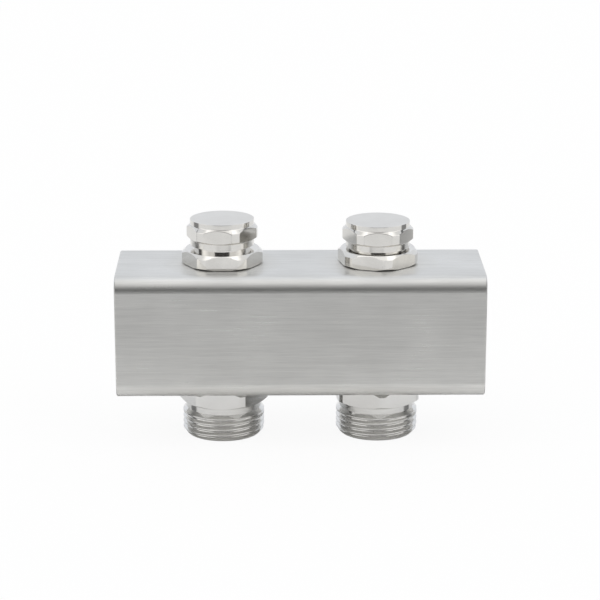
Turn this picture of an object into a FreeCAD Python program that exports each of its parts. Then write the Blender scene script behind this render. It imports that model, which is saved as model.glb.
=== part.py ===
"""Heating manifold: a square stainless bar that feeds a row of lockshield valves and threaded outlets.

Frame: millimetres, +Z up, +X along the bar, front of the bar towards -Y.
Origin: centre of the footprint, on the plane of the outlet mouths that the manifold stands on.

Each valve has a nickel-plated bonnet screwed into the top of the bar, with a rising spindle inside.
The spindle pushes a swivelling disc onto the seat at the upper end of the outlet nipple below it.
A screw cap closes the bonnet. Threads are plain cylinders at their major size.
"""

import FreeCAD
import Part
import Sketcher
import os

# Driving dimensions: alias, value in millimetres or degrees, meaning.
DIMENSIONS = (
    ("outlet_count", 2, "number of outlets along the bar"),
    ("outlet_pitch", 50.0, "distance between outlet axes"),
    ("bar_side", 40.0, "outer side of the square bar"),
    ("bar_wall", 2.0, "wall of the bar"),
    ("bar_corner", 5.0, "outer corner radius of the bar"),
    ("bar_end_run", 33.8, "last outlet axis to the end of the bar"),
    ("bar_end_break", 0.3, "edge break round both ends of the bar"),
    ("collar_height", 4.0, "height of the formed collar inside each hole"),
    ("collar_wall", 2.0, "wall of the formed collar"),
    ("collar_root", 1.0, "radius where a collar leaves the wall"),
    ("thread_play", 0.1, "radial play of a thread drawn as two plain cylinders"),
    ("hex_lower_chamfer", 30.0, "angle of the turned chamfer under a hexagon"),
    ("hex_upper_chamfer", 45.0, "angle of the turned chamfer on top of a hexagon"),
    ("outlet_seal", 0.25, "thickness of the flat seal above the outlet hexagon"),
    ("bonnet_seal", 0.25, "thickness of the flat seal under the bonnet hexagon"),
    ("seal_margin", 0.3, "how far a flat seal stays inside the flats of its hexagon"),
    ("plate_thickness", 3.0, "thickness of an end plate"),
    ("plate_recess", 0.8, "end plate set back from the end of the bar for its weld"),
    ("plate_fit", 0.1, "gap round an end plate"),
    ("socket_bore", 30.291, "minor diameter of the female connection thread"),
    ("socket_wall", 2.2, "wall of the threaded socket"),
    ("socket_depth", 13.0, "length of the threaded socket"),
    ("socket_lead", 1.5, "lead chamfer at the mouth of the socket"),
    ("outlet_thread", 26.441, "major diameter of the male outlet thread"),
    ("outlet_thread_length", 8.9, "length of the outlet thread"),
    ("outlet_lead", 1.4, "lead chamfer at the outlet mouth"),
    ("outlet_runout", 1.1, "height of the run-out at the upper end of the outlet thread"),
    ("outlet_neck", 24.2, "diameter of the neck above the outlet thread"),
    ("outlet_neck_length", 2.0, "length of that neck"),
    ("outlet_hex", 26.0, "outlet hexagon across flats"),
    ("outlet_hex_corner", 29.0, "diameter that the outlet hexagon corners are turned to"),
    ("outlet_hex_lower_face", 25.5, "diameter where its lower chamfer starts"),
    ("outlet_hex_upper_face", 26.5, "diameter where its upper chamfer ends"),
    ("outlet_hex_height", 5.65, "height of the outlet hexagon"),
    ("outlet_spigot", 24.0, "thread that holds the outlet nipple in the bar"),
    ("outlet_overrun", 1.5, "nipple spigot past the collar"),
    ("cone_mouth", 20.4, "outlet cone diameter at the mouth"),
    ("cone_angle", 15.0, "half angle of the outlet cone"),
    ("tail_bore", 18.2, "bore that takes the tail of a pipe fitting"),
    ("tail_depth", 12.0, "depth of the tail bore from the mouth"),
    ("flow_bore", 15.0, "bore of the nipple below the seat"),
    ("seat_height", 10.0, "valve seat above the floor of the bar"),
    ("seat_tube", 20.0, "outer diameter of the tube that carries the seat"),
    ("seat_bevel", 1.0, "outer bevel of the seat lip"),
    ("seat_break", 0.5, "inner bevel of the seat lip"),
    ("bonnet_hex", 24.0, "bonnet hexagon across flats"),
    ("bonnet_hex_corner", 26.0, "diameter that the bonnet hexagon corners are turned to"),
    ("bonnet_hex_lower_face", 24.5, "diameter where its lower chamfer starts"),
    ("bonnet_hex_upper_face", 23.6, "diameter where its upper chamfer ends"),
    ("bonnet_hex_height", 4.65, "height of the bonnet hexagon"),
    ("bonnet_spigot", 20.0, "thread that holds the bonnet in the bar"),
    ("bonnet_overrun", 1.0, "bonnet spigot past the collar"),
    ("bonnet_nose", 14.0, "diameter of the guide nose below the spigot"),
    ("bonnet_nose_length", 2.8, "length of the guide nose"),
    ("bonnet_edge", 0.8, "chamfers on the bonnet spigot, nose and rim"),
    ("neck_thread", 18.0, "bonnet neck thread that takes the cap"),
    ("neck_height", 6.5, "neck above the bonnet hexagon"),
    ("stem", 9.0, "diameter of the smooth spindle stem"),
    ("stem_play", 0.05, "radial running play of the stem in the bonnet"),
    ("spindle_head", 11.8, "diameter of the threaded spindle head"),
    ("spindle_head_length", 5.0, "length of the spindle head"),
    ("spindle_bore_base", 0.3, "step below the spindle thread, above the bonnet base"),
    ("spindle_head_gap", 0.5, "spindle head above that step when the valve is shut"),
    ("spindle_lift", 3.0, "travel of the spindle from shut to open"),
    ("key_socket", 5.0, "hexagon socket in the spindle across flats"),
    ("key_socket_depth", 4.0, "depth of the hexagon socket"),
    ("stop_play", 0.1, "gap between the open spindle and its stop ring"),
    ("stop_ring_thickness", 0.8, "thickness of the stop ring"),
    ("stop_ring_bore", 9.8, "bore of the stop ring"),
    ("stop_ring_bite", 0.65, "how deep the stop ring sits in the neck"),
    ("stop_ring_gap", 4.0, "open gap of the stop ring"),
    ("ring_groove_play", 0.05, "play of the stop ring in its groove"),
    ("stem_seal", 1.1, "section of a stem sealing ring"),
    ("stem_seal_play", 0.03, "play of a stem sealing ring"),
    ("stem_groove", 1.9, "width of a stem seal groove"),
    ("stem_seal_drop", 4.3, "upper stem seal below the bonnet base when shut"),
    ("stem_seal_pitch", 3.0, "distance between the stem seals"),
    ("disc_washer", 19.2, "outer diameter of the soft disc washer"),
    ("disc_washer_bore", 8.0, "bore of the soft disc washer"),
    ("disc_washer_thickness", 2.0, "thickness of the soft disc washer"),
    ("disc_washer_fit", 0.1, "play of the washer in its holder"),
    ("disc_lip_wall", 0.9, "wall of the holder lip round the washer"),
    ("disc_lip_height", 1.2, "height of the holder lip round the washer"),
    ("disc_plate", 3.0, "thickness of the disc holder"),
    ("disc_edge", 0.6, "upper chamfer of the disc holder"),
    ("spindle_foot", 5.0, "diameter of the spindle foot in the disc holder"),
    ("swivel_play", 0.1, "play of the disc holder on the spindle foot"),
    ("disc_screw", 3.0, "thread of the screw under the disc"),
    ("disc_screw_length", 6.0, "length of that screw below its head"),
    ("disc_screw_play", 0.05, "radial play of that screw in the spindle"),
    ("disc_screw_head", 6.8, "head diameter of that screw"),
    ("disc_screw_head_height", 1.6, "head height of that screw"),
    ("disc_screw_slot", 0.8, "slot width and depth of that screw"),
    ("cap_round", 20.5, "diameter of the round of the cap above and below its hexagon"),
    ("cap_height", 8.4, "height of the cap"),
    ("cap_top", 1.5, "thickness of the cap top"),
    ("cap_edge", 0.25, "edge break on the rounds of the cap"),
    ("cap_hex", 21.0, "cap hexagon across flats"),
    ("cap_hex_corner", 22.8, "diameter that the cap hexagon corners are turned to"),
    ("cap_hex_base", 2.0, "underside of the cap hexagon above the cap rim"),
    ("cap_hex_height", 4.8, "height of the cap hexagon"),
    ("cap_seal_thickness", 1.0, "thickness of the flat seal in the cap"),
    ("cap_seal_bore", 12.4, "bore of the flat seal in the cap"),
    ("cap_lift_1", 0.8, "how far the first cap is backed off"),
    ("cap_lift_2", 0.0, "how far the second cap is backed off"),
    ("outlet_turn_1", -3.7, "turn of the first nipple from flat to the front"),
    ("outlet_turn_2", -24.8, "turn of the second nipple"),
    ("bonnet_turn_1", 0.0, "turn of the first bonnet from flat to the front"),
    ("bonnet_turn_2", -18.5, "turn of the second bonnet"),
    ("cap_turn_1", -7.0, "turn of the first cap from flat to the front"),
    ("cap_turn_2", -2.0, "turn of the second cap"),
)

# Levels of the assembly, as expressions on the sheet.
OUTLET_HEX_TOP = "(dim.outlet_thread_length + dim.outlet_neck_length + dim.outlet_hex_height)"
BAR_BASE = f"({OUTLET_HEX_TOP} + dim.outlet_seal)"
BAR_FLOOR = f"({BAR_BASE} + dim.bar_wall)"
BAR_AXIS = f"({BAR_BASE} + dim.bar_side / 2)"
BAR_TOP = f"({BAR_BASE} + dim.bar_side)"
BAR_HALF = "((dim.outlet_count - 1) * dim.outlet_pitch / 2 + dim.bar_end_run)"
SEAT = f"({BAR_FLOOR} + dim.seat_height)"
BONNET_BASE = f"({BAR_TOP} + dim.bonnet_seal)"
NECK_RIM = f"({BONNET_BASE} + dim.bonnet_hex_height + dim.neck_height)"

# Levels inside the bonnet, measured up from its base.
SPINDLE_HEAD_BASE = "(dim.spindle_bore_base + dim.spindle_head_gap)"
SPINDLE_HEAD_TOP = f"({SPINDLE_HEAD_BASE} + dim.spindle_head_length)"
STOP_RING_BASE = f"({SPINDLE_HEAD_TOP} + dim.spindle_lift + dim.stop_play)"
SPINDLE_BORE_RADIUS = "(dim.spindle_head / 2 + dim.thread_play)"
STOP_GROOVE_RADIUS = f"({SPINDLE_BORE_RADIUS} + dim.stop_ring_bite + dim.ring_groove_play)"

doc = FreeCAD.newDocument("heating_manifold")
sheet = doc.addObject("Spreadsheet::Sheet", "dim")
pieces = []


def fill_sheet():
    """Write the driving dimensions into the sheet, one named cell each."""
    for row, (alias, value, meaning) in enumerate(DIMENSIONS, start=1):
        sheet.set(f"A{row}", meaning)
        sheet.set(f"B{row}", str(value))
        sheet.setAlias(f"B{row}", alias)
    doc.recompute()


def size(expression):
    """Value of an expression on the sheet."""
    return float(sheet.evalExpression(expression))


def outlet_x(index):
    """Expression for the X of an outlet axis; outlets count from 1 at the left."""
    return f"(({index - 1} - (dim.outlet_count - 1) / 2) * dim.outlet_pitch)"


def add_piece(label, piece, x="0", z="0", turn="0"):
    """Name a finished piece and bind its place in the assembly."""
    piece.Label = label
    piece.setExpression("Placement.Base.x", x)
    piece.setExpression("Placement.Base.z", z)
    piece.setExpression("Placement.Rotation.Angle", turn)
    pieces.append(piece)


def new_body(label):
    """Empty body for one piece."""
    return doc.addObject("PartDesign::Body", f"body_{label}")


def origin_feature(body, role):
    """One of the body's own origin planes or axes."""
    return next(feature for feature in body.Origin.OriginFeatures if feature.Role == role)


def new_sketch(body, name, role, **offsets):
    """Sketch on an origin plane, moved by the given expressions along its own axes."""
    sketch = body.newObject("Sketcher::SketchObject", name)
    sketch.AttachmentSupport = (origin_feature(body, role), [""])
    sketch.MapMode = "FlatFace"
    for axis, expression in offsets.items():
        sketch.setExpression(f"AttachmentOffset.Base.{axis}", expression)
    return sketch


def pin_vertex(sketch, edge, end, across, up):
    """Hold one end of an edge at a place given by two expressions."""
    for kind, axis, expression in (("DistanceX", -2, across), ("DistanceY", -1, up)):
        if expression == "0":
            sketch.addConstraint(Sketcher.Constraint("PointOnObject", edge, end, axis))
            continue
        held = Sketcher.Constraint(kind, -1, 1, edge, end, size(expression))
        sketch.setExpression(f"Constraints[{sketch.addConstraint(held)}]", expression)


def draw_outline(sketch, corners):
    """Closed outline of straight edges through corners given by expressions."""
    points = [FreeCAD.Vector(size(across), size(up), 0) for across, up in corners]
    first = sketch.GeometryCount
    count = len(points)
    for index, point in enumerate(points):
        sketch.addGeometry(Part.LineSegment(point, points[(index + 1) % count]), False)
    for index, (across, up) in enumerate(corners):
        following = first + (index + 1) % count
        sketch.addConstraint(Sketcher.Constraint("Coincident", first + index, 2, following, 1))
        pin_vertex(sketch, first + index, 1, across, up)


def draw_circle(sketch, radius):
    """Circle about the origin of the sketch."""
    circle = sketch.addGeometry(Part.Circle(FreeCAD.Vector(), FreeCAD.Vector(0, 0, 1), size(radius)))
    sketch.addConstraint(Sketcher.Constraint("Coincident", circle, 3, -1, 1))
    held = sketch.addConstraint(Sketcher.Constraint("Radius", circle, size(radius)))
    sketch.setExpression(f"Constraints[{held}]", radius)


def draw_hexagon(sketch, across_flats):
    """Hexagon about the origin of the sketch with flats towards the front and the back."""
    corner = f"({across_flats}) / sqrt(3)"
    spoke = FreeCAD.Vector(size(corner), 0, 0)
    points = [FreeCAD.Rotation(FreeCAD.Vector(0, 0, 1), 60 * turn).multVec(spoke) for turn in range(6)]
    for turn in range(6):
        sketch.addGeometry(Part.LineSegment(points[turn], points[(turn + 1) % 6]), False)
    circle = Part.Circle(FreeCAD.Vector(), FreeCAD.Vector(0, 0, 1), size(corner))
    guide = sketch.addGeometry(circle, True)
    sketch.addConstraint(Sketcher.Constraint("Coincident", guide, 3, -1, 1))
    held = sketch.addConstraint(Sketcher.Constraint("Radius", guide, size(corner)))
    sketch.setExpression(f"Constraints[{held}]", corner)
    for turn in range(6):
        sketch.addConstraint(Sketcher.Constraint("Coincident", turn, 2, (turn + 1) % 6, 1))
        sketch.addConstraint(Sketcher.Constraint("PointOnObject", turn, 1, guide))
    for turn in range(1, 6):
        sketch.addConstraint(Sketcher.Constraint("Equal", 0, turn))
    sketch.addConstraint(Sketcher.Constraint("Horizontal", 1))


def draw_rounded_square(sketch, side, radius):
    """Square about the origin of the sketch with equal round corners."""
    first = sketch.GeometryCount
    half = size(side) / 2
    bend = size(radius)
    turns = [FreeCAD.Rotation(FreeCAD.Vector(0, 0, 1), 90 * quarter) for quarter in range(4)]
    for turn in turns:
        start = turn.multVec(FreeCAD.Vector(half, bend - half, 0))
        end = turn.multVec(FreeCAD.Vector(half, half - bend, 0))
        middle = turn.multVec(FreeCAD.Vector(half - bend, half - bend, 0))
        knee = middle + turn.multVec(FreeCAD.Vector(bend, bend, 0)) / 2**0.5
        after = turn.multVec(FreeCAD.Vector(half - bend, half, 0))
        sketch.addGeometry(Part.LineSegment(start, end), False)
        sketch.addGeometry(Part.Arc(end, knee, after), False)
    for quarter in range(4):
        line = first + 2 * quarter
        following = first + (2 * quarter + 2) % 8
        sketch.addConstraint(Sketcher.Constraint("Tangent", line, 2, line + 1, 1))
        sketch.addConstraint(Sketcher.Constraint("Tangent", line + 1, 2, following, 1))
        sketch.addConstraint(Sketcher.Constraint("Vertical" if quarter % 2 == 0 else "Horizontal", line))
        if quarter:
            sketch.addConstraint(Sketcher.Constraint("Equal", first + 1, line + 1))
    held = sketch.addConstraint(Sketcher.Constraint("Radius", first + 1, bend))
    sketch.setExpression(f"Constraints[{held}]", radius)
    reaches = (("DistanceX", half), ("DistanceY", half), ("DistanceX", -half), ("DistanceY", -half))
    for quarter, (kind, reach) in enumerate(reaches):
        limit = Sketcher.Constraint(kind, -1, 1, first + 2 * quarter, 1, reach)
        sign = "" if reach > 0 else "-"
        sketch.setExpression(f"Constraints[{sketch.addConstraint(limit)}]", f"{sign}({side}) / 2")


def pad(body, sketch, length, reverse=False):
    """Extrude a sketch by an expression."""
    feature = body.newObject("PartDesign::Pad", f"{sketch.Name}_pad")
    feature.Profile = sketch
    feature.setExpression("Length", length)
    feature.Reversed = reverse
    return feature


def pocket(body, sketch, depth, reverse=False):
    """Cut a sketch into the body by an expression."""
    feature = body.newObject("PartDesign::Pocket", f"{sketch.Name}_pocket")
    feature.Profile = sketch
    feature.setExpression("Length", depth)
    feature.Reversed = reverse
    return feature


def turn_profile(body, name, corners, cut=False, **offsets):
    """Add or cut a turned profile about the upright axis of its sketch, given as radius and height."""
    sketch = new_sketch(body, f"{name}_profile", "XZ_Plane", **offsets)
    draw_outline(sketch, corners)
    feature = body.newObject("PartDesign::Groove" if cut else "PartDesign::Revolution", name)
    feature.Profile = sketch
    feature.ReferenceAxis = (sketch, ["V_Axis"])
    feature.Angle = 360
    return feature


def hexagon_block(body, flats, corner, lower_face, upper_face, base, height):
    """Hexagon with its corners turned to a diameter and a turned chamfer at both faces."""
    sketch = new_sketch(body, "hexagon", "XY_Plane", z=base)
    draw_hexagon(sketch, flats)
    pad(body, sketch, height)
    top = f"({base}) + ({height})"
    above = f"(({corner}) - ({upper_face})) / 2 * tan(dim.hex_upper_chamfer * 1 deg)"
    below = f"(({corner}) - ({lower_face})) / 2 * tan(dim.hex_lower_chamfer * 1 deg)"
    outside = f"({flats}) / sqrt(3) + ({height})"
    turned_outline = [
        (f"({upper_face}) / 2", top),
        (f"({corner}) / 2", f"{top} - {above}"),
        (f"({corner}) / 2", f"({base}) + {below}"),
        (f"({lower_face}) / 2", base),
        (outside, base),
        (outside, top),
    ]
    turn_profile(body, "corner_turning", turned_outline, cut=True)


def flat_ring(label, outer, bore, thickness, **place):
    """Flat seal or washer cut from two plain cylinders."""
    disc = doc.addObject("Part::Cylinder", f"{label}_disc")
    hole = doc.addObject("Part::Cylinder", f"{label}_hole")
    for cylinder, diameter in ((disc, outer), (hole, bore)):
        cylinder.setExpression("Radius", f"({diameter}) / 2")
        cylinder.setExpression("Height", thickness)
    ring = doc.addObject("Part::Cut", f"{label}_ring")
    ring.Base = disc
    ring.Tool = hole
    add_piece(label, ring, **place)


def manifold_bar():
    """Square tube with a formed and tapped collar inside each hole, one above and one below per outlet."""
    body = new_body("manifold_bar")
    section = new_sketch(body, "section", "YZ_Plane", y="dim.bar_side / 2", z=f"-{BAR_HALF}")
    draw_rounded_square(section, "dim.bar_side", "dim.bar_corner")
    draw_rounded_square(section, "dim.bar_side - 2 * dim.bar_wall", "dim.bar_corner - dim.bar_wall")
    pad(body, section, f"2 * {BAR_HALF}")
    ceiling = "(dim.bar_side - dim.bar_wall)"
    collars = (
        ("lower", "dim.outlet_spigot", "dim.bar_wall / 2", "(dim.bar_wall + dim.collar_height)"),
        ("upper", "dim.bonnet_spigot", f"({ceiling} + dim.bar_wall / 2)", f"({ceiling} - dim.collar_height)"),
    )
    originals = []
    for name, thread, root, lip in collars:
        hole = f"({thread} / 2 + dim.thread_play)"
        outside = f"({hole} + dim.collar_wall)"
        ring = [(hole, root), (outside, root), (outside, lip), (hole, lip)]
        originals.append(turn_profile(body, f"{name}_collar", ring, x=outlet_x(1)))
        past = "-dim.bar_wall" if name == "lower" else "dim.bar_side + dim.bar_wall"
        drill = [("0", past), (hole, past), (hole, lip), ("0", lip)]
        originals.append(turn_profile(body, f"{name}_hole", drill, cut=True, x=outlet_x(1)))
    row = body.newObject("PartDesign::LinearPattern", "outlet_row")
    row.Originals = originals
    row.Direction = (origin_feature(body, "X_Axis"), [""])
    row.setExpression("Length", "dim.outlet_pitch * (dim.outlet_count - 1)")
    row.setExpression("Occurrences", "dim.outlet_count")
    body.Tip = row
    doc.recompute()
    roots = body.newObject("PartDesign::Fillet", "collar_roots")
    roots.Base = (row, collar_root_edges(row.Shape))
    roots.setExpression("Radius", "dim.collar_root")
    doc.recompute()
    ends = body.newObject("PartDesign::Chamfer", "end_breaks")
    ends.Base = (roots, bar_end_edges(roots.Shape))
    ends.setExpression("Size", "dim.bar_end_break")
    add_piece("manifold_bar", body, z=BAR_BASE)


def collar_root_edges(shape):
    """Names of the round edges where the collars leave the inner walls of the bar."""
    levels = (size("dim.bar_wall"), size("dim.bar_side - dim.bar_wall"))
    names = []
    for number, edge in enumerate(shape.Edges, start=1):
        round_edge = isinstance(edge.Curve, Part.Circle) and abs(edge.Curve.Axis.z) > 0.9
        if round_edge and min(abs(edge.Curve.Center.z - level) for level in levels) < 1e-6:
            names.append(f"Edge{number}")
    return names


def bar_end_edges(shape):
    """Names of the edges round both ends of the bar, outside and inside."""
    reach = size(BAR_HALF)
    numbered = enumerate(shape.Edges, start=1)
    return [f"Edge{number}" for number, edge in numbered if abs(edge.BoundBox.Center.x) > reach - 1e-4]


def end_plate(label, side):
    """Plate welded into one end of the bar, with a threaded socket behind it; its own +Z points out."""
    body = new_body(label)
    square = new_sketch(body, "plate", "XY_Plane", z="-dim.plate_recess")
    inside = "dim.bar_side - 2 * dim.bar_wall - 2 * dim.plate_fit"
    draw_rounded_square(square, inside, "dim.bar_corner - dim.bar_wall - dim.plate_fit")
    pad(body, square, "dim.plate_thickness", reverse=True)
    boss = new_sketch(body, "socket", "XY_Plane", z="-dim.plate_recess")
    draw_circle(boss, "dim.socket_bore / 2 + dim.socket_wall")
    pad(body, boss, "dim.socket_depth", reverse=True)
    mouth = "-dim.plate_recess"
    radius = "dim.socket_bore / 2"
    bottom = f"({mouth} - dim.socket_depth)"
    bore = [
        ("0", bottom),
        (radius, bottom),
        (radius, f"{mouth} - dim.socket_lead"),
        (f"{radius} + dim.socket_lead", mouth),
        ("0", mouth),
    ]
    turn_profile(body, "socket_bore", bore, cut=True)
    body.Placement.Rotation = FreeCAD.Rotation(FreeCAD.Vector(0, 1, 0), 90)
    add_piece(label, body, x=f"{side} * {BAR_HALF}", z=BAR_AXIS, turn=f"{side} * 90")


def outlet_nipple(index):
    """Nipple with a male thread and an inner cone below, a hexagon, and the valve seat at its upper end."""
    body = new_body(f"outlet_nipple_{index}")
    hex_base = "(dim.outlet_thread_length + dim.outlet_neck_length)"
    faces = ("dim.outlet_hex_lower_face", "dim.outlet_hex_upper_face")
    shape = ("dim.outlet_hex", "dim.outlet_hex_corner", *faces)
    hexagon_block(body, *shape, hex_base, "dim.outlet_hex_height")
    thread = "dim.outlet_thread / 2"
    neck = "dim.outlet_neck / 2"
    spigot = "dim.outlet_spigot / 2"
    tube = "dim.seat_tube / 2"
    spigot_top = f"({BAR_FLOOR} + dim.collar_height + dim.outlet_overrun)"
    turned = [
        ("0", "0"),
        (f"{thread} - dim.outlet_lead", "0"),
        (thread, "dim.outlet_lead"),
        (thread, "dim.outlet_thread_length - dim.outlet_runout"),
        (neck, "dim.outlet_thread_length"),
        (neck, hex_base),
        (spigot, hex_base),
        (spigot, f"{spigot_top} - dim.seat_bevel"),
        (f"{spigot} - dim.seat_bevel", spigot_top),
        (tube, spigot_top),
        (tube, f"{SEAT} - dim.seat_bevel"),
        (f"{tube} - dim.seat_bevel", SEAT),
        ("0", SEAT),
    ]
    turn_profile(body, "turned_body", turned)
    mouth = "dim.cone_mouth / 2"
    tail = "dim.tail_bore / 2"
    flow = "dim.flow_bore / 2"
    bore = [
        ("0", "0"),
        (mouth, "0"),
        (tail, f"({mouth} - {tail}) / tan(dim.cone_angle * 1 deg)"),
        (tail, "dim.tail_depth"),
        (flow, f"dim.tail_depth + {tail} - {flow}"),
        (flow, f"{SEAT} - dim.seat_break"),
        (f"{flow} + dim.seat_break", SEAT),
        ("0", SEAT),
    ]
    turn_profile(body, "bore", bore, cut=True)
    add_piece(f"outlet_nipple_{index}", body, x=outlet_x(index), turn=f"dim.outlet_turn_{index}")


def valve_bonnet(index):
    """Bonnet: a hexagon on the bar, a spigot screwed into the collar and a threaded neck for the cap."""
    body = new_body(f"valve_bonnet_{index}")
    faces = ("dim.bonnet_hex_lower_face", "dim.bonnet_hex_upper_face")
    shape = ("dim.bonnet_hex", "dim.bonnet_hex_corner", *faces)
    hexagon_block(body, *shape, "0", "dim.bonnet_hex_height")
    spigot = "dim.bonnet_spigot / 2"
    nose = "dim.bonnet_nose / 2"
    neck = "dim.neck_thread / 2"
    edge = "dim.bonnet_edge"
    rim = "(dim.bonnet_hex_height + dim.neck_height)"
    shoulder = "(0 - dim.bonnet_seal - dim.bar_wall - dim.collar_height - dim.bonnet_overrun)"
    tip = f"({shoulder} - dim.bonnet_nose_length)"
    turned = [
        ("0", tip),
        (f"{nose} - {edge}", tip),
        (nose, f"{tip} + {edge}"),
        (nose, shoulder),
        (f"{spigot} - {edge}", shoulder),
        (spigot, f"{shoulder} + {edge}"),
        (spigot, "dim.bonnet_hex_height / 2"),
        (neck, "dim.bonnet_hex_height / 2"),
        (neck, f"{rim} - {edge}"),
        (f"{neck} - {edge}", rim),
        ("0", rim),
    ]
    turn_profile(body, "turned_body", turned)
    stem_bore = "(dim.stem / 2 + dim.stem_play)"
    ring_top = f"({STOP_RING_BASE} + dim.stop_ring_thickness + dim.ring_groove_play)"
    ring_base = f"({STOP_RING_BASE} - dim.ring_groove_play)"
    bore = [
        ("0", tip),
        (stem_bore, tip),
        (stem_bore, "dim.spindle_bore_base"),
        (SPINDLE_BORE_RADIUS, "dim.spindle_bore_base"),
        (SPINDLE_BORE_RADIUS, ring_base),
        (STOP_GROOVE_RADIUS, ring_base),
        (STOP_GROOVE_RADIUS, ring_top),
        (SPINDLE_BORE_RADIUS, ring_top),
        (SPINDLE_BORE_RADIUS, rim),
        ("0", rim),
    ]
    turn_profile(body, "spindle_bore", bore, cut=True)
    place = {"x": outlet_x(index), "z": BONNET_BASE, "turn": f"dim.bonnet_turn_{index}"}
    add_piece(f"valve_bonnet_{index}", body, **place)


def stop_ring(index):
    """Open snap ring in the bonnet neck that stops the spindle when the valve is fully open."""
    body = new_body(f"stop_ring_{index}")
    ring = new_sketch(body, "ring", "XY_Plane")
    draw_circle(ring, f"{STOP_GROOVE_RADIUS} - dim.ring_groove_play")
    draw_circle(ring, "dim.stop_ring_bore / 2")
    pad(body, ring, "dim.stop_ring_thickness")
    gap = new_sketch(body, "gap", "XY_Plane", z="dim.stop_ring_thickness")
    half = "dim.stop_ring_gap / 2"
    past = "dim.neck_thread"
    draw_outline(gap, [(f"-{half}", "0"), (half, "0"), (half, past), (f"-{half}", past)])
    pocket(body, gap, "dim.stop_ring_thickness")
    add_piece(f"stop_ring_{index}", body, x=outlet_x(index), z=f"{BONNET_BASE} + {STOP_RING_BASE}")


def spindle(index):
    """Rising spindle: threaded head with a key socket, stem with two seal grooves, and a swivel foot."""
    body = new_body(f"spindle_{index}")
    rise = f"({BONNET_BASE} - {SEAT})"
    foot_base = "(dim.disc_washer_thickness - dim.swivel_play)"
    foot_top = f"({foot_base} + dim.disc_plate + 2 * dim.swivel_play)"
    foot = "dim.spindle_foot / 2"
    stem = "dim.stem / 2"
    head = "dim.spindle_head / 2"
    head_base = f"({rise} + {SPINDLE_HEAD_BASE})"
    head_top = f"({rise} + {SPINDLE_HEAD_TOP})"
    groove_floor = f"({stem} + dim.stem_play - 2 * dim.stem_seal_play - dim.stem_seal)"
    outline = [("0", foot_base), (foot, foot_base), (foot, foot_top), (stem, foot_top)]
    for lower in (1, 0):
        middle = f"({rise} - dim.stem_seal_drop - {lower} * dim.stem_seal_pitch)"
        below = f"{middle} - dim.stem_groove / 2"
        above = f"{middle} + dim.stem_groove / 2"
        outline += [(stem, below), (groove_floor, below), (groove_floor, above), (stem, above)]
    outline += [(stem, head_base), (head, head_base), (head, head_top), ("0", head_top)]
    turn_profile(body, "turned_body", outline)
    tapping = "(dim.disc_screw / 2 + dim.disc_screw_play)"
    tapped_to = f"{foot_base} + dim.disc_screw_length + dim.disc_screw"
    hole = [("0", foot_base), (tapping, foot_base), (tapping, tapped_to), ("0", tapped_to)]
    turn_profile(body, "tapped_hole", hole, cut=True)
    key = new_sketch(body, "key_socket", "XY_Plane", z=head_top)
    draw_hexagon(key, "dim.key_socket")
    pocket(body, key, "dim.key_socket_depth")
    add_piece(f"spindle_{index}", body, x=outlet_x(index), z=SEAT)


def stem_seals(index):
    """Two rubber rings in the grooves of the stem, one piece group per valve."""
    rings = []
    for lower in (0, 1):
        ring = doc.addObject("Part::Torus", f"stem_seal_{index}_{lower + 1}")
        ring.setExpression("Radius1", "dim.stem / 2 + dim.stem_play - dim.stem_seal_play - dim.stem_seal / 2")
        ring.setExpression("Radius2", "dim.stem_seal / 2")
        ring.setExpression("Placement.Base.z", f"-dim.stem_seal_drop - {lower} * dim.stem_seal_pitch")
        rings.append(ring)
    group = doc.addObject("Part::Compound", f"stem_seal_group_{index}")
    group.Links = rings
    add_piece(f"stem_seals_{index}", group, x=outlet_x(index), z=BONNET_BASE)


def disc_holder(index):
    """Cup that swivels on the spindle foot and carries the soft washer."""
    body = new_body(f"disc_holder_{index}")
    pivot = "dim.spindle_foot / 2 + dim.swivel_play"
    pocket_radius = "(dim.disc_washer / 2 + dim.disc_washer_fit)"
    outside = f"({pocket_radius} + dim.disc_lip_wall)"
    seat = "dim.disc_washer_thickness"
    top = f"({seat} + dim.disc_plate)"
    outline = [
        (pivot, seat),
        (pocket_radius, seat),
        (pocket_radius, f"{seat} - dim.disc_lip_height"),
        (outside, f"{seat} - dim.disc_lip_height"),
        (outside, f"{top} - dim.disc_edge"),
        (f"{outside} - dim.disc_edge", top),
        (pivot, top),
    ]
    turn_profile(body, "turned_body", outline)
    add_piece(f"disc_holder_{index}", body, x=outlet_x(index), z=SEAT)


def disc_screw(index):
    """Slotted screw in the spindle foot that keeps the disc holder on it."""
    body = new_body(f"disc_screw_{index}")
    shank = "dim.disc_screw / 2"
    head = "dim.disc_screw_head / 2"
    under = "(dim.disc_washer_thickness - dim.swivel_play)"
    face = f"({under} - dim.disc_screw_head_height)"
    end = f"({under} + dim.disc_screw_length)"
    outline = [("0", face), (head, face), (head, under), (shank, under), (shank, end), ("0", end)]
    turn_profile(body, "turned_body", outline)
    slot = new_sketch(body, "slot", "XY_Plane", z=face)
    half = "dim.disc_screw_slot / 2"
    corners = [(f"-{head}", f"-{half}"), (head, f"-{half}"), (head, half), (f"-{head}", half)]
    draw_outline(slot, corners)
    pocket(body, slot, "dim.disc_screw_slot", reverse=True)
    add_piece(f"disc_screw_{index}", body, x=outlet_x(index), z=SEAT)


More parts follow.
